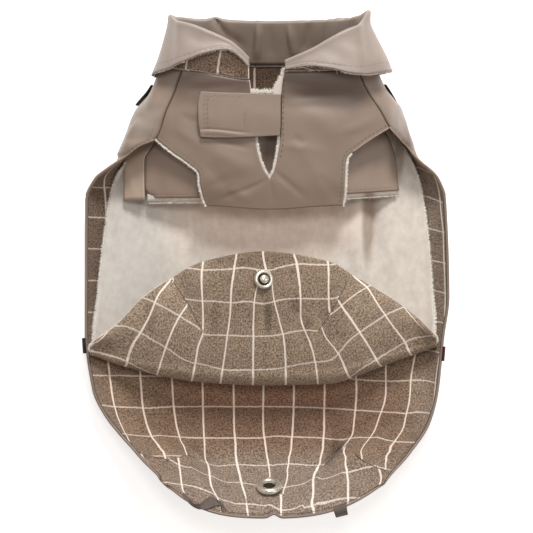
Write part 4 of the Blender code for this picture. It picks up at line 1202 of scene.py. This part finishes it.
def flapFields(grid, firstSeen):
    distances = unrolled(grid, 0, grid.shape[1] // 2)
    px, py = picture(grid)
    seen = np.broadcast_to(np.arange(len(grid))[:, None] >= firstSeen, px.shape)
    level = {**liner["level"], "top": liner["level"]["middle"]}
    upright = liner["upright"]
    maps = {key: checkMap(grid, distances, upright[key], level[key], seen) for key in upright}
    fields = [maps["middle"]]
    for key, tip in (("left", (203, 336)), ("right", (320, 336))):
        share = smoothStep(tip[1], tip[1] + 30, py) * (1 - smoothStep(0, 40, np.abs(px - tip[0])))
        fields.append(lerp(maps[key], maps["middle"], share[..., None]))
    return np.stack([*fields, maps["top"]])


def flapSector(px, py):
    left, right = (np.interp(py, *zip(*[(y, x) for x, y in line])) for line in liner["dartLines"])
    top = np.interp(px, *zip(*liner["level"]["middle"][0][1:]))
    return np.where(px < left, 1, np.where(px > right, 2, np.where(py < top, 3, 0)))


def makeLiner():
    grid, foldStart, foldEnd = linerGrid()
    fleeceFace = moved(grid, 0.2 + liner["fleeceWall"] / 2)
    edgeX = fleeceFace[-1, :, 0]
    peep = 1.3 * (1 - smoothStep(-78, -66, edgeX)) + 0.7 * smoothStep(60, 70, edgeX) - 0.2
    fleeceFace[-1] += unit(fleeceFace[-1] - fleeceFace[-2]) * peep[:, None]
    clothPiece("linerFleece", [fleeceFace], liner["fleeceWall"], "fleece", ["liner_fleece"],
               [unrolled(fleeceFace, 0, 65) / 10])
    first = foldStart - 14
    checkFace = moved(grid[first:], -0.2 - liner["checkWall"] / 2)
    clothPiece("linerCheck", [checkFace], liner["checkWall"], "check", ["liner_check"],
               [flapFields(checkFace, foldEnd - first - 4)], choose=flapSector)
    return fleeceFace, checkFace


linerFace, flapFace = makeLiner()
print("liner made")


collar = {
    # share of the way round the neck, height and distance out of ridge and free edge, radius, flare
    "turns": ((0.00, 15, 7, 8.5, 9.5, 1.4, 0), (0.02, 21, 8.5, 15, 11, 1.4, 0),
              (0.045, 26, 9.5, 19, 12.5, 1.4, 0), (0.10, 30.5, 10.5, 13, 13, 1.4, 0),
              (0.15, 34.5, 7, 3.5, 12, 1.3, 0.1), (0.19, 36.2, -3, -3, 9, 1.2, 0.2),
              (0.23, 35.0, -9.5, -7.5, 6.5, 1.1, 0.35), (0.28, 34.2, -12, -9, 6.5, 1.1, 0.35),
              (0.34, 33, -12, -12, 4.6, 1.3, 0), (0.50, 31.5, -9, -12, 4.6, 1.3, 0),
              (0.66, 33, -12, -12, 4.6, 1.3, 0), (0.72, 34.6, -12, -7, 7.5, 1.1, 0.35),
              (0.765, 36.4, -9, -4.5, 12, 1.1, 0.35), (0.80, 37.4, -4, -4, 14, 1.2, 0.2),
              (0.85, 31, 7, -3.7, 14.5, 1.4, 0.1), (0.90, 22.5, 9.5, 0.6, 14, 1.4, 0),
              (0.95, 14, 8.5, 3.0, 11, 1.4, 0), (1.00, 7.5, 4.5, 1.2, 6, 1.3, 0)),
    "ease": 10,
    "start": 0.8,
    "layer": 0.5,
    "wall": 0.8,
    "check": 23.3,  # repeat of the check in mm
    "corners": ((170, 15.5, 4.5), (369, 11, 4.5), (153.5, 72, 5), (390, 71.5, 5), (215, 18, 6)),
    "backFolds": ((214, 20, 241, 47, 4.5, -1.6, 1.6), (226, 24, 238, 60, 5, 0.8),
                  (256, 27, 258, 62, 4, 2.3, 1.5), (272, 28, 270, 62, 5, -0.7),
                  (288, 30, 298, 62, 4.5, 2.3, 1.6), (310, 24, 302, 50, 5, -1.1, 1.4),
                  (328, 18, 322, 50, 1.4, -0.8), (352, 15, 349, 34, 1.4, -0.8), (340, 17, 335, 40, 4, 0.7)),
    "wingFolds": ((172, 30, 200, 60, 9, 0.4), (190, 36, 226, 50, 6, -0.4), (340, 44, 382, 66, 7, 0.5),
                  (318, 48, 352, 66, 6, -0.3), (362, 26, 384, 60, 6, 0.3)),
}


def collarGrid(count=270, stand=12, fold=10, fall=18):
    front, other = chestHalves
    ring = np.concatenate([front[0][::-1][:-1], shellGrid[0], other[0][::-1][1:]])
    ring = smoothed(evenly(ring, count), 5)
    share = along(ring) / along(ring)[-1]
    turns = [read(share)[:, None] for read in columnsOf(collar["turns"])]
    ridgeY, ridgeOut, edgeY, edgeOut, radius, flare = turns
    ridge, edge = np.concatenate([ridgeY, ridgeOut], 1), np.concatenate([edgeY, edgeOut], 1)
    start = np.array([[collar["start"], 0.0]])
    axis = unit(ridge - (start + edge) / 2)
    side = np.stack([axis[:, 1], -axis[:, 0]], 1)
    centre = ridge - axis * radius
    arc = [centre + (side * cos(a) + axis * sin(a)) * radius for a in np.linspace(0, pi, fold + 1)]
    rise = [lerp(start, arc[0], i / stand) for i in range(stand)]
    third = np.linalg.norm(edge - arc[-1], axis=1, keepdims=True) / 3
    meet = edge + unit(np.concatenate([1 + 0 * flare, -flare], 1)) * third
    drop = [bezier(arc[-1], arc[-1] - axis * third, meet, edge, i / fall) for i in range(1, fall + 1)]
    profile = np.stack(rise + arc + drop, 1)
    ahead = np.gradient(ring, axis=0)
    out = unit(smoothed(unit(np.stack([ahead[:, 2], 0 * share, -ahead[:, 0]], 1)), collar["ease"]))
    grid = ring[:, None] + profile[..., :1] * np.array([0, 1.0, 0]) + profile[..., 1:] * out[:, None]
    inBack = (smoothStep(0.27, 0.33, share) * (1 - smoothStep(0.68, 0.75, share)))[:, None]
    folds = inBack * foldsAt(grid, collar["backFolds"]) + (1 - inBack) * foldsAt(grid, collar["wingFolds"])
    fromSeam = np.linspace(0, 1, grid.shape[1])
    folds = folds + 0.25 * ripples(grid[..., 0], grid[..., 1] + grid[..., 2], 30, 7)
    return pinched(moved(grid, folds * smoothStep(0, 0.12, fromSeam)), collar["corners"])


def makeCollar():
    grid = collarGrid()
    cm = unrolled(grid, 0, 0)
    toEdge = cm[:, -1:, 0] - cm[..., 0]
    hem = 0.3 * np.exp(-(((toEdge - 0.9) / 0.9) ** 2)) - 0.3 * np.exp(-(((toEdge - 2.7) / 0.45) ** 2))
    upper = moved(grid, collar["layer"] + hem)
    under = drawnIn(moved(grid, -collar["layer"]), right=0.8)
    clothPiece("collarOuter", [upper], collar["wall"], "coatedCollar", ["collar_upper"], [cm / 10])
    clothPiece("collarInner", [under], collar["wall"], "checkNeck", ["collar_under"],
               [cm[..., ::-1] / collar["check"]])
    return upper


collarUpper = makeCollar()
print("collar made")


seams = {
    "tabStitch": (((204.5, 97.5), (204, 112), (204.5, 129)), ((208, 97), (207.7, 112), (208, 129))),
    "tabTop": ((203, 95.6), (222, 96.2), (244, 97)),
    "tabFaint": ((243.6, 113), (244.2, 128)),
    "placket": ((284.2, 78), (283.6, 93), (283.3, 110), (283, 126), (283.2, 136), (282, 150), (279.5, 161)),
    "notchLeft": ((251.6, 138), (253.4, 147), (255, 155), (258.5, 166)),
    "tabEnd": ((281.6, 94), (281.4, 115), (280.8, 137)),
    # pitch, length, width and depth of the stitches
    "fine": (3.2, 2.2, 0.3, 0.2),
    "crossed": (3.4, 2.4, 0.34, 0.24),
    "dark": (4.0, 2.6, 0.5, 0.2),
    "armhole": (3.4, 2.3, 0.42),
    "shellArmhole": (3.4, 2.2, 0.45, 0.25),
    "collarHem": (4.0, 2.7, 0.3, 0.2),
    "long": (4.2, 2.9),
    # how high stitches lie over the strap, the collar and the other cloths
    "onTab": 0.78,
    "onCollar": 0.42,
    "onCloth": 0.48,
    # radii of the seams' shaded lines
    "side": 0.42,
    "tab": 0.36,
    "neck": 0.6,
    "band": 0.2,
    "dart": 0.34,
    "hem": 1.0,
    "rims": (0.85, 0.85, 0.6),
}


def chestEdge(side):  # the armhole edge of the chest's face
    half = chestHalves[0] if side < 0 else chestHalves[1][:, ::-1]
    return evenly(half[29:, 0], 70)


def makeHemRoll():
    starts = {side: int(np.argmax(shellRowAt <= chest["seamEnd"][side])) for side in (-1, 1)}
    paths = []
    for grid in (moved(shellGrid, 0.65), shellGrid):
        borders = [(grid[starts[-1] :, k], grid[-1 - k, 1:-1], grid[starts[1] :, -1 - k][::-1])
                   for k in (0, 1)]
        edge, beside = (np.concatenate(parts) for parts in borders)
        paths.append((edge, unit(beside - edge)))
    edge, inwards = paths[0]
    rods("hemRoll", [(evenly(edge + inwards * 0.4, 560), seams["hem"])], "coatedEdge", 10)
    edge, inwards = paths[1]
    rims = [(edge - inwards * 0.1)[(edge[:, 1] > 52) & (edge[:, 0] * side > 0)] for side in (-1, 1)]
    upper = chestEdge(1)
    rims.append(upper[upper[:, 1] > 83] + np.array([0.1, -0.1, 0.55]))
    rims = [(evenly(rim, 90), radius) for rim, radius in zip(rims, seams["rims"])]
    rods("armholeRims", rims, "coatedRim", 8)


def turned(name, profile, finish, nodes, at, normal, steps=48):
    bm = bmesh.new()
    points = [bm.verts.new((radius * mm, 0, height * mm)) for radius, height in profile]
    for a, b in zip(points, points[1:]):
        bm.edges.new((a, b))
    bmesh.ops.spin(bm, geom=bm.verts[:] + bm.edges[:], axis=(0, 0, 1), cent=(0, 0, 0), angle=2 * pi,
                   steps=steps, use_merge=True)
    bmesh.ops.remove_doubles(bm, verts=bm.verts, dist=0.000005)
    bmesh.ops.recalc_face_normals(bm, faces=bm.faces)
    turn = Vector(normal).to_track_quat("Z", "Y").to_matrix().to_4x4()
    bm.transform(Matrix.Translation(Vector(place(np.array(at)))) @ turn)
    made = finished(meshOf(name, bm), finish, nodes)
    made.data.set_sharp_from_angle(angle=radians(38))


snap = {
    "stud": ((0, 4.3), (1.3, 4.2), (2.4, 3.8), (3.0, 3.2), (3.2, 2.7), (3.0, 2.1), (2.6, 0.6), (4.4, 0.6),
             (4.7, 1.8), (5.1, 2.15), (5.8, 2.25), (6.5, 2.0), (7.0, 1.3), (7.1, 0.5), (7.1, 0), (0, 0)),
    "studWell": ((2.65, 0.66), (4.35, 0.66), (4.35, 0.5), (2.65, 0.5)),
    "socket": ((3.2, 0.3), (4.3, 0.35), (4.7, 1.2), (5.1, 2.5), (5.9, 3.05), (7.2, 3.1), (8.3, 2.6),
               (9.0, 1.5), (9.3, 0), (3.2, 0)),
    "well": ((0, 0.5), (3.0, 0.55), (4.55, 0.75), (4.55, 0.4), (0, 0.4)),
    "studAt": (-2.2, -10.6),
    "studLift": 0.8,
    "studLean": (0.26, 0.10, 0),
    "socketAt": (-147.4, 0.02),
    "socketLift": 3.1,
    "socketLean": (0, 0.95, 0),
}


def makeSnap():
    seen = np.hypot(flapFace[..., 0] - snap["studAt"][0], flapFace[..., 1] - snap["studAt"][1])
    seen[:30] = 99
    spot = np.unravel_index(np.argmin(seen), seen.shape)
    normal = np.array(snap["studLean"]) - normalsOf(flapFace)[spot]
    at = flapFace[spot] + normal * snap["studLift"]
    turned("stud", snap["stud"], "nickel", ["snap_stud"], at, normal)
    # the wells are dark pieces of painted shade in the stud's groove and the socket's hole
    turned("studWell", snap["studWell"], "snapInside", [], at, normal)
    row, column = snap["socketAt"]
    at = shellRaised(np.array(row), np.array(column), np.array(snap["socketLift"]))
    normal = at - shellPoint(row, column) + np.array(snap["socketLean"])
    turned("socket", snap["socket"], "nickel", ["snap_socket"], at, normal)
    turned("socketWell", snap["well"], "snapInside", [], at, normal)


def strip(path, across, width, columns=7):
    return path[:, None] + unit(across) * np.linspace(-width / 2, width / 2, columns)[:, None]


loops = {
    "webbing": 1.4,
    "ribbon": 0.6,
    # row and column on the shell, length, width, how far it stands out or the finish
    "shoulder": {"left": (125.5, -0.68, 16, 9, 0.9), "right": (126.5, 0.68, 15, 6.5, 0.9)},
    "side": {"left": (-59.5, -1.0, 11.5, 3.4, "webbing"), "right": (-65.5, 1.0, 11, 2.6, "redThread")},
    # places of both edges in the picture, each with its height over the lining
    "hem": {"left": ((183.5, 492.5, 1.6, 182.6, 496, 0.8), (189.5, 498.5, 1.8, 188, 502.5, 0.8),
                     (195, 504, 2.2, 194.5, 507.5, 0.9), (199, 504, 3.0, 200, 509.5, 1.0),
                     (205, 500, 4.2, 207, 509, 1.6), (210.5, 496.5, 4.6, 214, 506.5, 2.4),
                     (215.5, 498.5, 3.8, 218.5, 505.5, 2.2), (220, 501.5, 2.6, 221, 506.5, 1.4),
                     (223.5, 505.5, 1.8, 220.5, 509.5, 1.0), (227, 510.5, 1.2, 221.5, 512.5, 0.8)),
            "right": ((333, 508.5, 1.8, 346, 503.5, 1.8), (334, 512, 2.3, 346.8, 507.5, 2.3),
                      (335, 515, 1.4, 347.4, 511.5, 1.4), (336, 517.5, -1.4, 348, 514.5, -1.4))},
}


def nearShell(px, py, lift):  # a point over the lining behind a place in the picture
    height = liningGrid[(*nearest(liningGrid, px, py), 2)] + lift
    return *behind(px, py, height), height


def makeLoops():
    def tape(name, grid, wall, finish, node, soft):
        clothPiece(name, [grid], wall, finish, [node], soft=soft)

    for side, (row, column, length, width, out) in loops["shoulder"].items():
        t = np.linspace(0, 1, 22)
        path = shellRaised(row + length * (0.5 - t), np.full(22, column), -(1.95 + out * np.sin(pi * t)))
        across = shellPoint(row, column + 0.05) - shellPoint(row, column - 0.05)
        tape("shoulderTape" + side.title(), strip(path, across, width), loops["webbing"], "webbing",
             "shoulder_loop_" + side, 0.5)
    for side, (row, column, length, width, finish) in loops["side"].items():
        edge, inside = shellPoint(row, column), shellPoint(row, column * 0.97)
        across = shellPoint(row + 1, column) - shellPoint(row - 1, column)
        path = edge + unit(edge - inside) * (0.7 + width * np.linspace(0, 1, 8)[:, None])
        tape("sideTape" + side.title(), strip(path, across, length, 12), loops["webbing"], finish,
             "side_loop_" + side, 0.5)
    for side, rows in loops["hem"].items():
        table = [(k / (len(rows) - 1), *row) for k, row in enumerate(rows)]
        edges = [read(np.linspace(0, 1, 44)) for read in columnsOf(table)]
        first, second = (np.array([nearShell(*at) for at in zip(*edges[k : k + 3])]) for k in (0, 3))
        grid = lerp(first[:, None], second[:, None], np.linspace(0, 1, 9)[:, None])
        tape("hemTape" + side.title(), grid, loops["ribbon"], "ribbon", "hem_loop_" + side, 0.2)


makeHemRoll()
makeSnap()
makeLoops()
print("hem, stud and loops made")


def pictureLine(places, count=60):
    at, wanted = np.linspace(0, 1, len(places)), np.linspace(0, 1, count)
    return [smoothLine(at, line)(wanted) for line in zip(*places)]


def behindLine(grid, places, count=60):  # points of the grid seen along a line in the picture
    return np.array([grid[nearest(grid, px, py)] for px, py in zip(*pictureLine(places, count))])


def chestLine(places):
    return onChest(*pictureLine(places))


def chestTop(points):  # lays points on the chest's own face
    out = points.copy()
    for half, side in zip(chestHalves, (-1, 1)):
        flat = half.reshape(-1, 3)
        mine = (points[:, 0] < 3) if side < 0 else (points[:, 0] >= 3)
        for k in np.nonzero(mine)[0]:
            near = np.argmin((flat[:, 0] - points[k, 0]) ** 2 + (flat[:, 1] - points[k, 1]) ** 2)
            out[k, 2] = flat[near, 2] + 0.85
    return out


def sideways(path, distance):  # a path moved across its own direction, level
    ahead = np.gradient(path, axis=0)
    return path + unit(np.stack([ahead[:, 1], -ahead[:, 0], 0 * ahead[:, 0]], 1)) * distance


def makeStitches():
    rows, dark = [], []

    def sewn(path, normals, lift, *sizes):
        rows.append(stitchesOn(path + normals * lift, normals, *sizes))

    for line in seams["tabStitch"]:
        path = behindLine(tabGrid, line) + upward * seams["onTab"]
        for skew in (0.55, -0.55):
            rows.append(stitchesOn(evenly(path, 60), upward, *seams["crossed"], skew))
    for line, sizes in ((seams["tabTop"], ()), (seams["tabFaint"], seams["fine"])):
        path = behindLine(tabGrid, line) + upward * seams["onTab"]
        rows.append(stitchesOn(evenly(path, 60), upward, *sizes))
    dark.append(stitchesOn(chestTop(chestLine(seams["placket"])) + upward * 0.03, upward, *seams["dark"]))
    rows.append(stitchesOn(chestTop(chestLine(seams["notchLeft"]))))
    for made, side, inside in ((rows, -1, 3.0), (dark, 1, 2.3)):
        made.append(stitchesOn(chestTop(sideways(chestEdge(side), side * inside)), upward, *seams["armhole"]))
    collarUp, bandUp, shellUp = normalsOf(collarUpper), normalsOf(bandMain), -normalsOf(shellGrid)
    sewn(collarUpper[6:-6, -4], collarUp[6:-6, -4], seams["onCollar"], *seams["collarHem"])
    sewn(collarUpper[110:160, 2], collarUp[110:160, 2], seams["onCollar"], *seams["long"])
    for at in ((-3, slice(0, 60)), (-3, slice(60, 110)), (slice(10, None), 1)):
        sewn(bandMain[at], bandUp[at], seams["onCloth"])
    for k in (2, -3):
        sewn(shellGrid[24:, k], shellUp[24:, k], seams["onCloth"], *seams["long"])
    for first, second in ((0, 1), (-1, -2)):
        edge, normals = shellGrid[:, first], shellUp[:, second]
        path = lerp(edge, shellGrid[:, second], 0.75) + normals * 0.5
        keep = (edge[:, 1] > 52) & (edge[:, 1] < 93)
        dark.append(stitchesOn(path[keep], normals[keep], *seams["shellArmhole"]))
    repeated("stitches", bead(), np.concatenate(rows), "seamThread")
    repeated("darkStitches", bead(), np.concatenate(dark), "seamShade")


def makeSeams():  # narrow shaded lines where two pieces meet, each with its radius
    lines = []
    for side, half in ((-1, chestHalves[0]), (1, chestHalves[1][:, ::-1])):
        lines.append((evenly(half[:30, 0] + np.array([side * 0.35, 0, 0.35]), 60), seams["side"]))
    lines.append((chestTop(chestLine(seams["tabEnd"])) + upward * 0.3, seams["tab"]))
    lines.append((shellRaised(np.full(60, 148.6), np.linspace(-0.5, 0.5, 60), 1.6), seams["neck"]))
    lines.append((evenly(bandMain[8:, 0] + np.array([-0.4, 0, 0.1]), 50), seams["band"]))
    rim = np.concatenate([liningGrid[62:, 1], liningGrid[-2, 2:-2], liningGrid[62:, -2][::-1]])
    lines.append((evenly(rim, 400) + upward * 0.15, seams["side"]))
    rods("seamLines", lines, "seamShade")


def makeDarts():
    places = [(line, flapFace[34:]) for line in liner["dartLines"]]
    places += [(liningCheck[key], liningGrid) for key in ("dartLeft", "dartRight")]
    paths = [np.pad(behindLine(grid, line, 40), ((2, 2), (0, 0)), "edge") for line, grid in places]
    darts = [(blurred(path, np.ones(5)) + upward * 0.2, seams["dart"]) for path in paths]
    rods("dartSeams", darts, "seamShade")


fluffyEdges = {
    # stretch in the picture, seed, fibres for each mm, their length
    "bandHem": ((146, 203, 51, 11, 1.7), (343, 400, 52, 11, 1.7)),
    "flapEdge": ((97, 172, 61, 11, 1.5), (345, 432, 62, 10, 1.5), (172, 345, 63, 3, 0.8)),
    "collarRim": ((154, 186, 81, 7, 1.1), (186, 250, 82, 2.5, 1.1), (338, 392, 83, 9, 1.1),
                  (292, 338, 84, 2.5, 1.1)),
    # line in the picture, height, lean, fibres for each mm, length, seed, how deep they start
    "slit": (((284, 68), (281, 76), (277, 84), (274.5, 91)), 0.8, (-1.0, 0.2, 0), 16, 2.0, 41, 2.2),
    "slitTop": (((249, 91), (258, 91.5), (268, 91.5), (277, 90.5)), 1.2, (0, 1.0, 0.2), 18, 2.4, 42, 1.6),
}


def fluffAlong(path, out, stretches, lift=0.0):
    px, py = picture(path)
    path, out = path + upward * lift, np.broadcast_to(out, path.shape)
    made = []
    for first, last, seed, dense, long in stretches:
        keep = (px > first) & (px < last) & (py > 45)
        made.append(fibresOn(path[keep], out[keep], dense, long, seed))
    return made


def makeFluff():
    parts = []
    for k, side in enumerate((-1, 1)):
        edge = chestEdge(side)
        out = sideways(edge, -side * 1.0) - edge
        fluffy = (side < 0) | (edge[:, 1] < 83)
        parts.append(fibresOn((edge + out + upward * 0.2)[fluffy], out[fluffy], 12, 1.5, 21 + k))
        half = chestHalves[0][:, -1] if side < 0 else chestHalves[1][:, 0]
        notch = half[(half[:, 1] < 97) & (half[:, 1] > 62.5)]
        inward = np.array([-side * 1.0, 0, 0])
        parts.append(fibresOn(notch + inward * 1.2 + upward * 0.1, inward, 11, 1.4, 31 + k))
    for key in ("slit", "slitTop"):
        line, height, out, *sizes = fluffyEdges[key]
        parts.append(fibresOn(onChest(*pictureLine(line), height), np.array(out), *sizes, 1.0))
    hem, edge, rim = bandBack[-1], linerFace[-1], collarUpper[:, -1]
    parts += fluffAlong(hem, np.array([0, -1.0, 0.1]), fluffyEdges["bandHem"])
    parts += fluffAlong(edge, unit(edge - linerFace[-2]), fluffyEdges["flapEdge"])
    for column, way, seed in ((0, -1.0, 71), (-1, 1.0, 72)):
        side = linerFace[:74, column] + upward * 0.4
        parts.append(fibresOn(side, np.array([way, 0, 0.1]), 10, 1.8, seed, 0.9))
    repeated("fluffyEdges", fibre(), np.concatenate(parts), "fluff")
    glints = fluffAlong(rim, np.array([0, -1.0, 0]), fluffyEdges["collarRim"], -0.7)
    repeated("collarGlints", fibre(), np.concatenate(glints), "fluff")


makeStitches()
makeSeams()
makeDarts()
makeFluff()
print("seams and edges made")


def declareCloth():
    shapes = bpy.data.objects
    trims = [shapes[name] for name in ("hemRoll", "armholeRims")]
    trims += [made for made in shapes if made.name.startswith(("shoulderTape", "sideTape", "hemTape"))]


declareCloth()

studio = {
    "floor": (0.75, 0.745, 0.74),
    "floorGlow": 0.62,  # keeps the paper white under the coat's own shadow
    "world": (1.0, 0.87, 0.78),
    "worldStrength": 0.30,
    # place, aim, size in m, power, colour
    "lamps": (((0.25, 1.75, 1.35), (0, 0, 0), 0.6, 46, (1.0, 0.99, 0.98)),
              ((0.05, 0.62, 2.0), (0, 0, 0), 0.6, 9, (0.98, 0.99, 1.0)),
              ((-1.5, 0.2, 1.3), (0, 0, 0), 1.2, 2, (1.0, 0.97, 0.95)),
              ((1.5, -0.1, 1.5), (0, 0, 0), 1.2, 7, (1.0, 0.97, 0.94))),
}


def makeStudio():
    bm = bmesh.new()
    bmesh.ops.create_grid(bm, x_segments=2, y_segments=2, size=3)
    bm.transform(Matrix.Translation((0, 0, -0.0002)))
    mesh = meshOf("floor", bm)
    newFinish("paper", 0.9, 0.1, Base_Color=(*studio["floor"], 1), Emission_Color=(1, 1, 1, 1),
              Emission_Strength=studio["floorGlow"])
    mesh.materials.append(finishes["paper"])
    floor = bpy.data.objects.new("floor", mesh)
    bpy.context.scene.collection.objects.link(floor)
    world = bpy.data.worlds.new("studio")
    world.use_nodes = True
    background = world.node_tree.nodes["Background"]
    feed(world.node_tree, background, {0: (*studio["world"], 1), 1: studio["worldStrength"]})
    bpy.context.scene.world = world
    for at, target, size, power, colour in studio["lamps"]:
        lamp = bpy.data.lights.new("softLight", "AREA")
        lamp.shape = "DISK"
        lamp.size = size
        lamp.energy = power
        lamp.color = colour
        made = bpy.data.objects.new("softLight", lamp)
        made.location = at
        made.rotation_mode = "QUATERNION"
        made.rotation_quaternion = (Vector(at) - Vector(target)).to_track_quat("Z", "Y")
        bpy.context.scene.collection.objects.link(made)


def makeCamera():
    data = bpy.data.cameras.new("camera")
    data.sensor_width = 36
    data.lens = 36 * camera["height"] / (camera["size"] * camera["pixel"])
    made = bpy.data.objects.new("camera", data)
    made.location = (camera["aim"][0] * mm, camera["aim"][1] * mm, camera["height"] * mm)
    bpy.context.scene.collection.objects.link(made)
    bpy.context.scene.camera = made
    bpy.context.scene.view_settings.view_transform = "Standard"


makeStudio()
makeCamera()
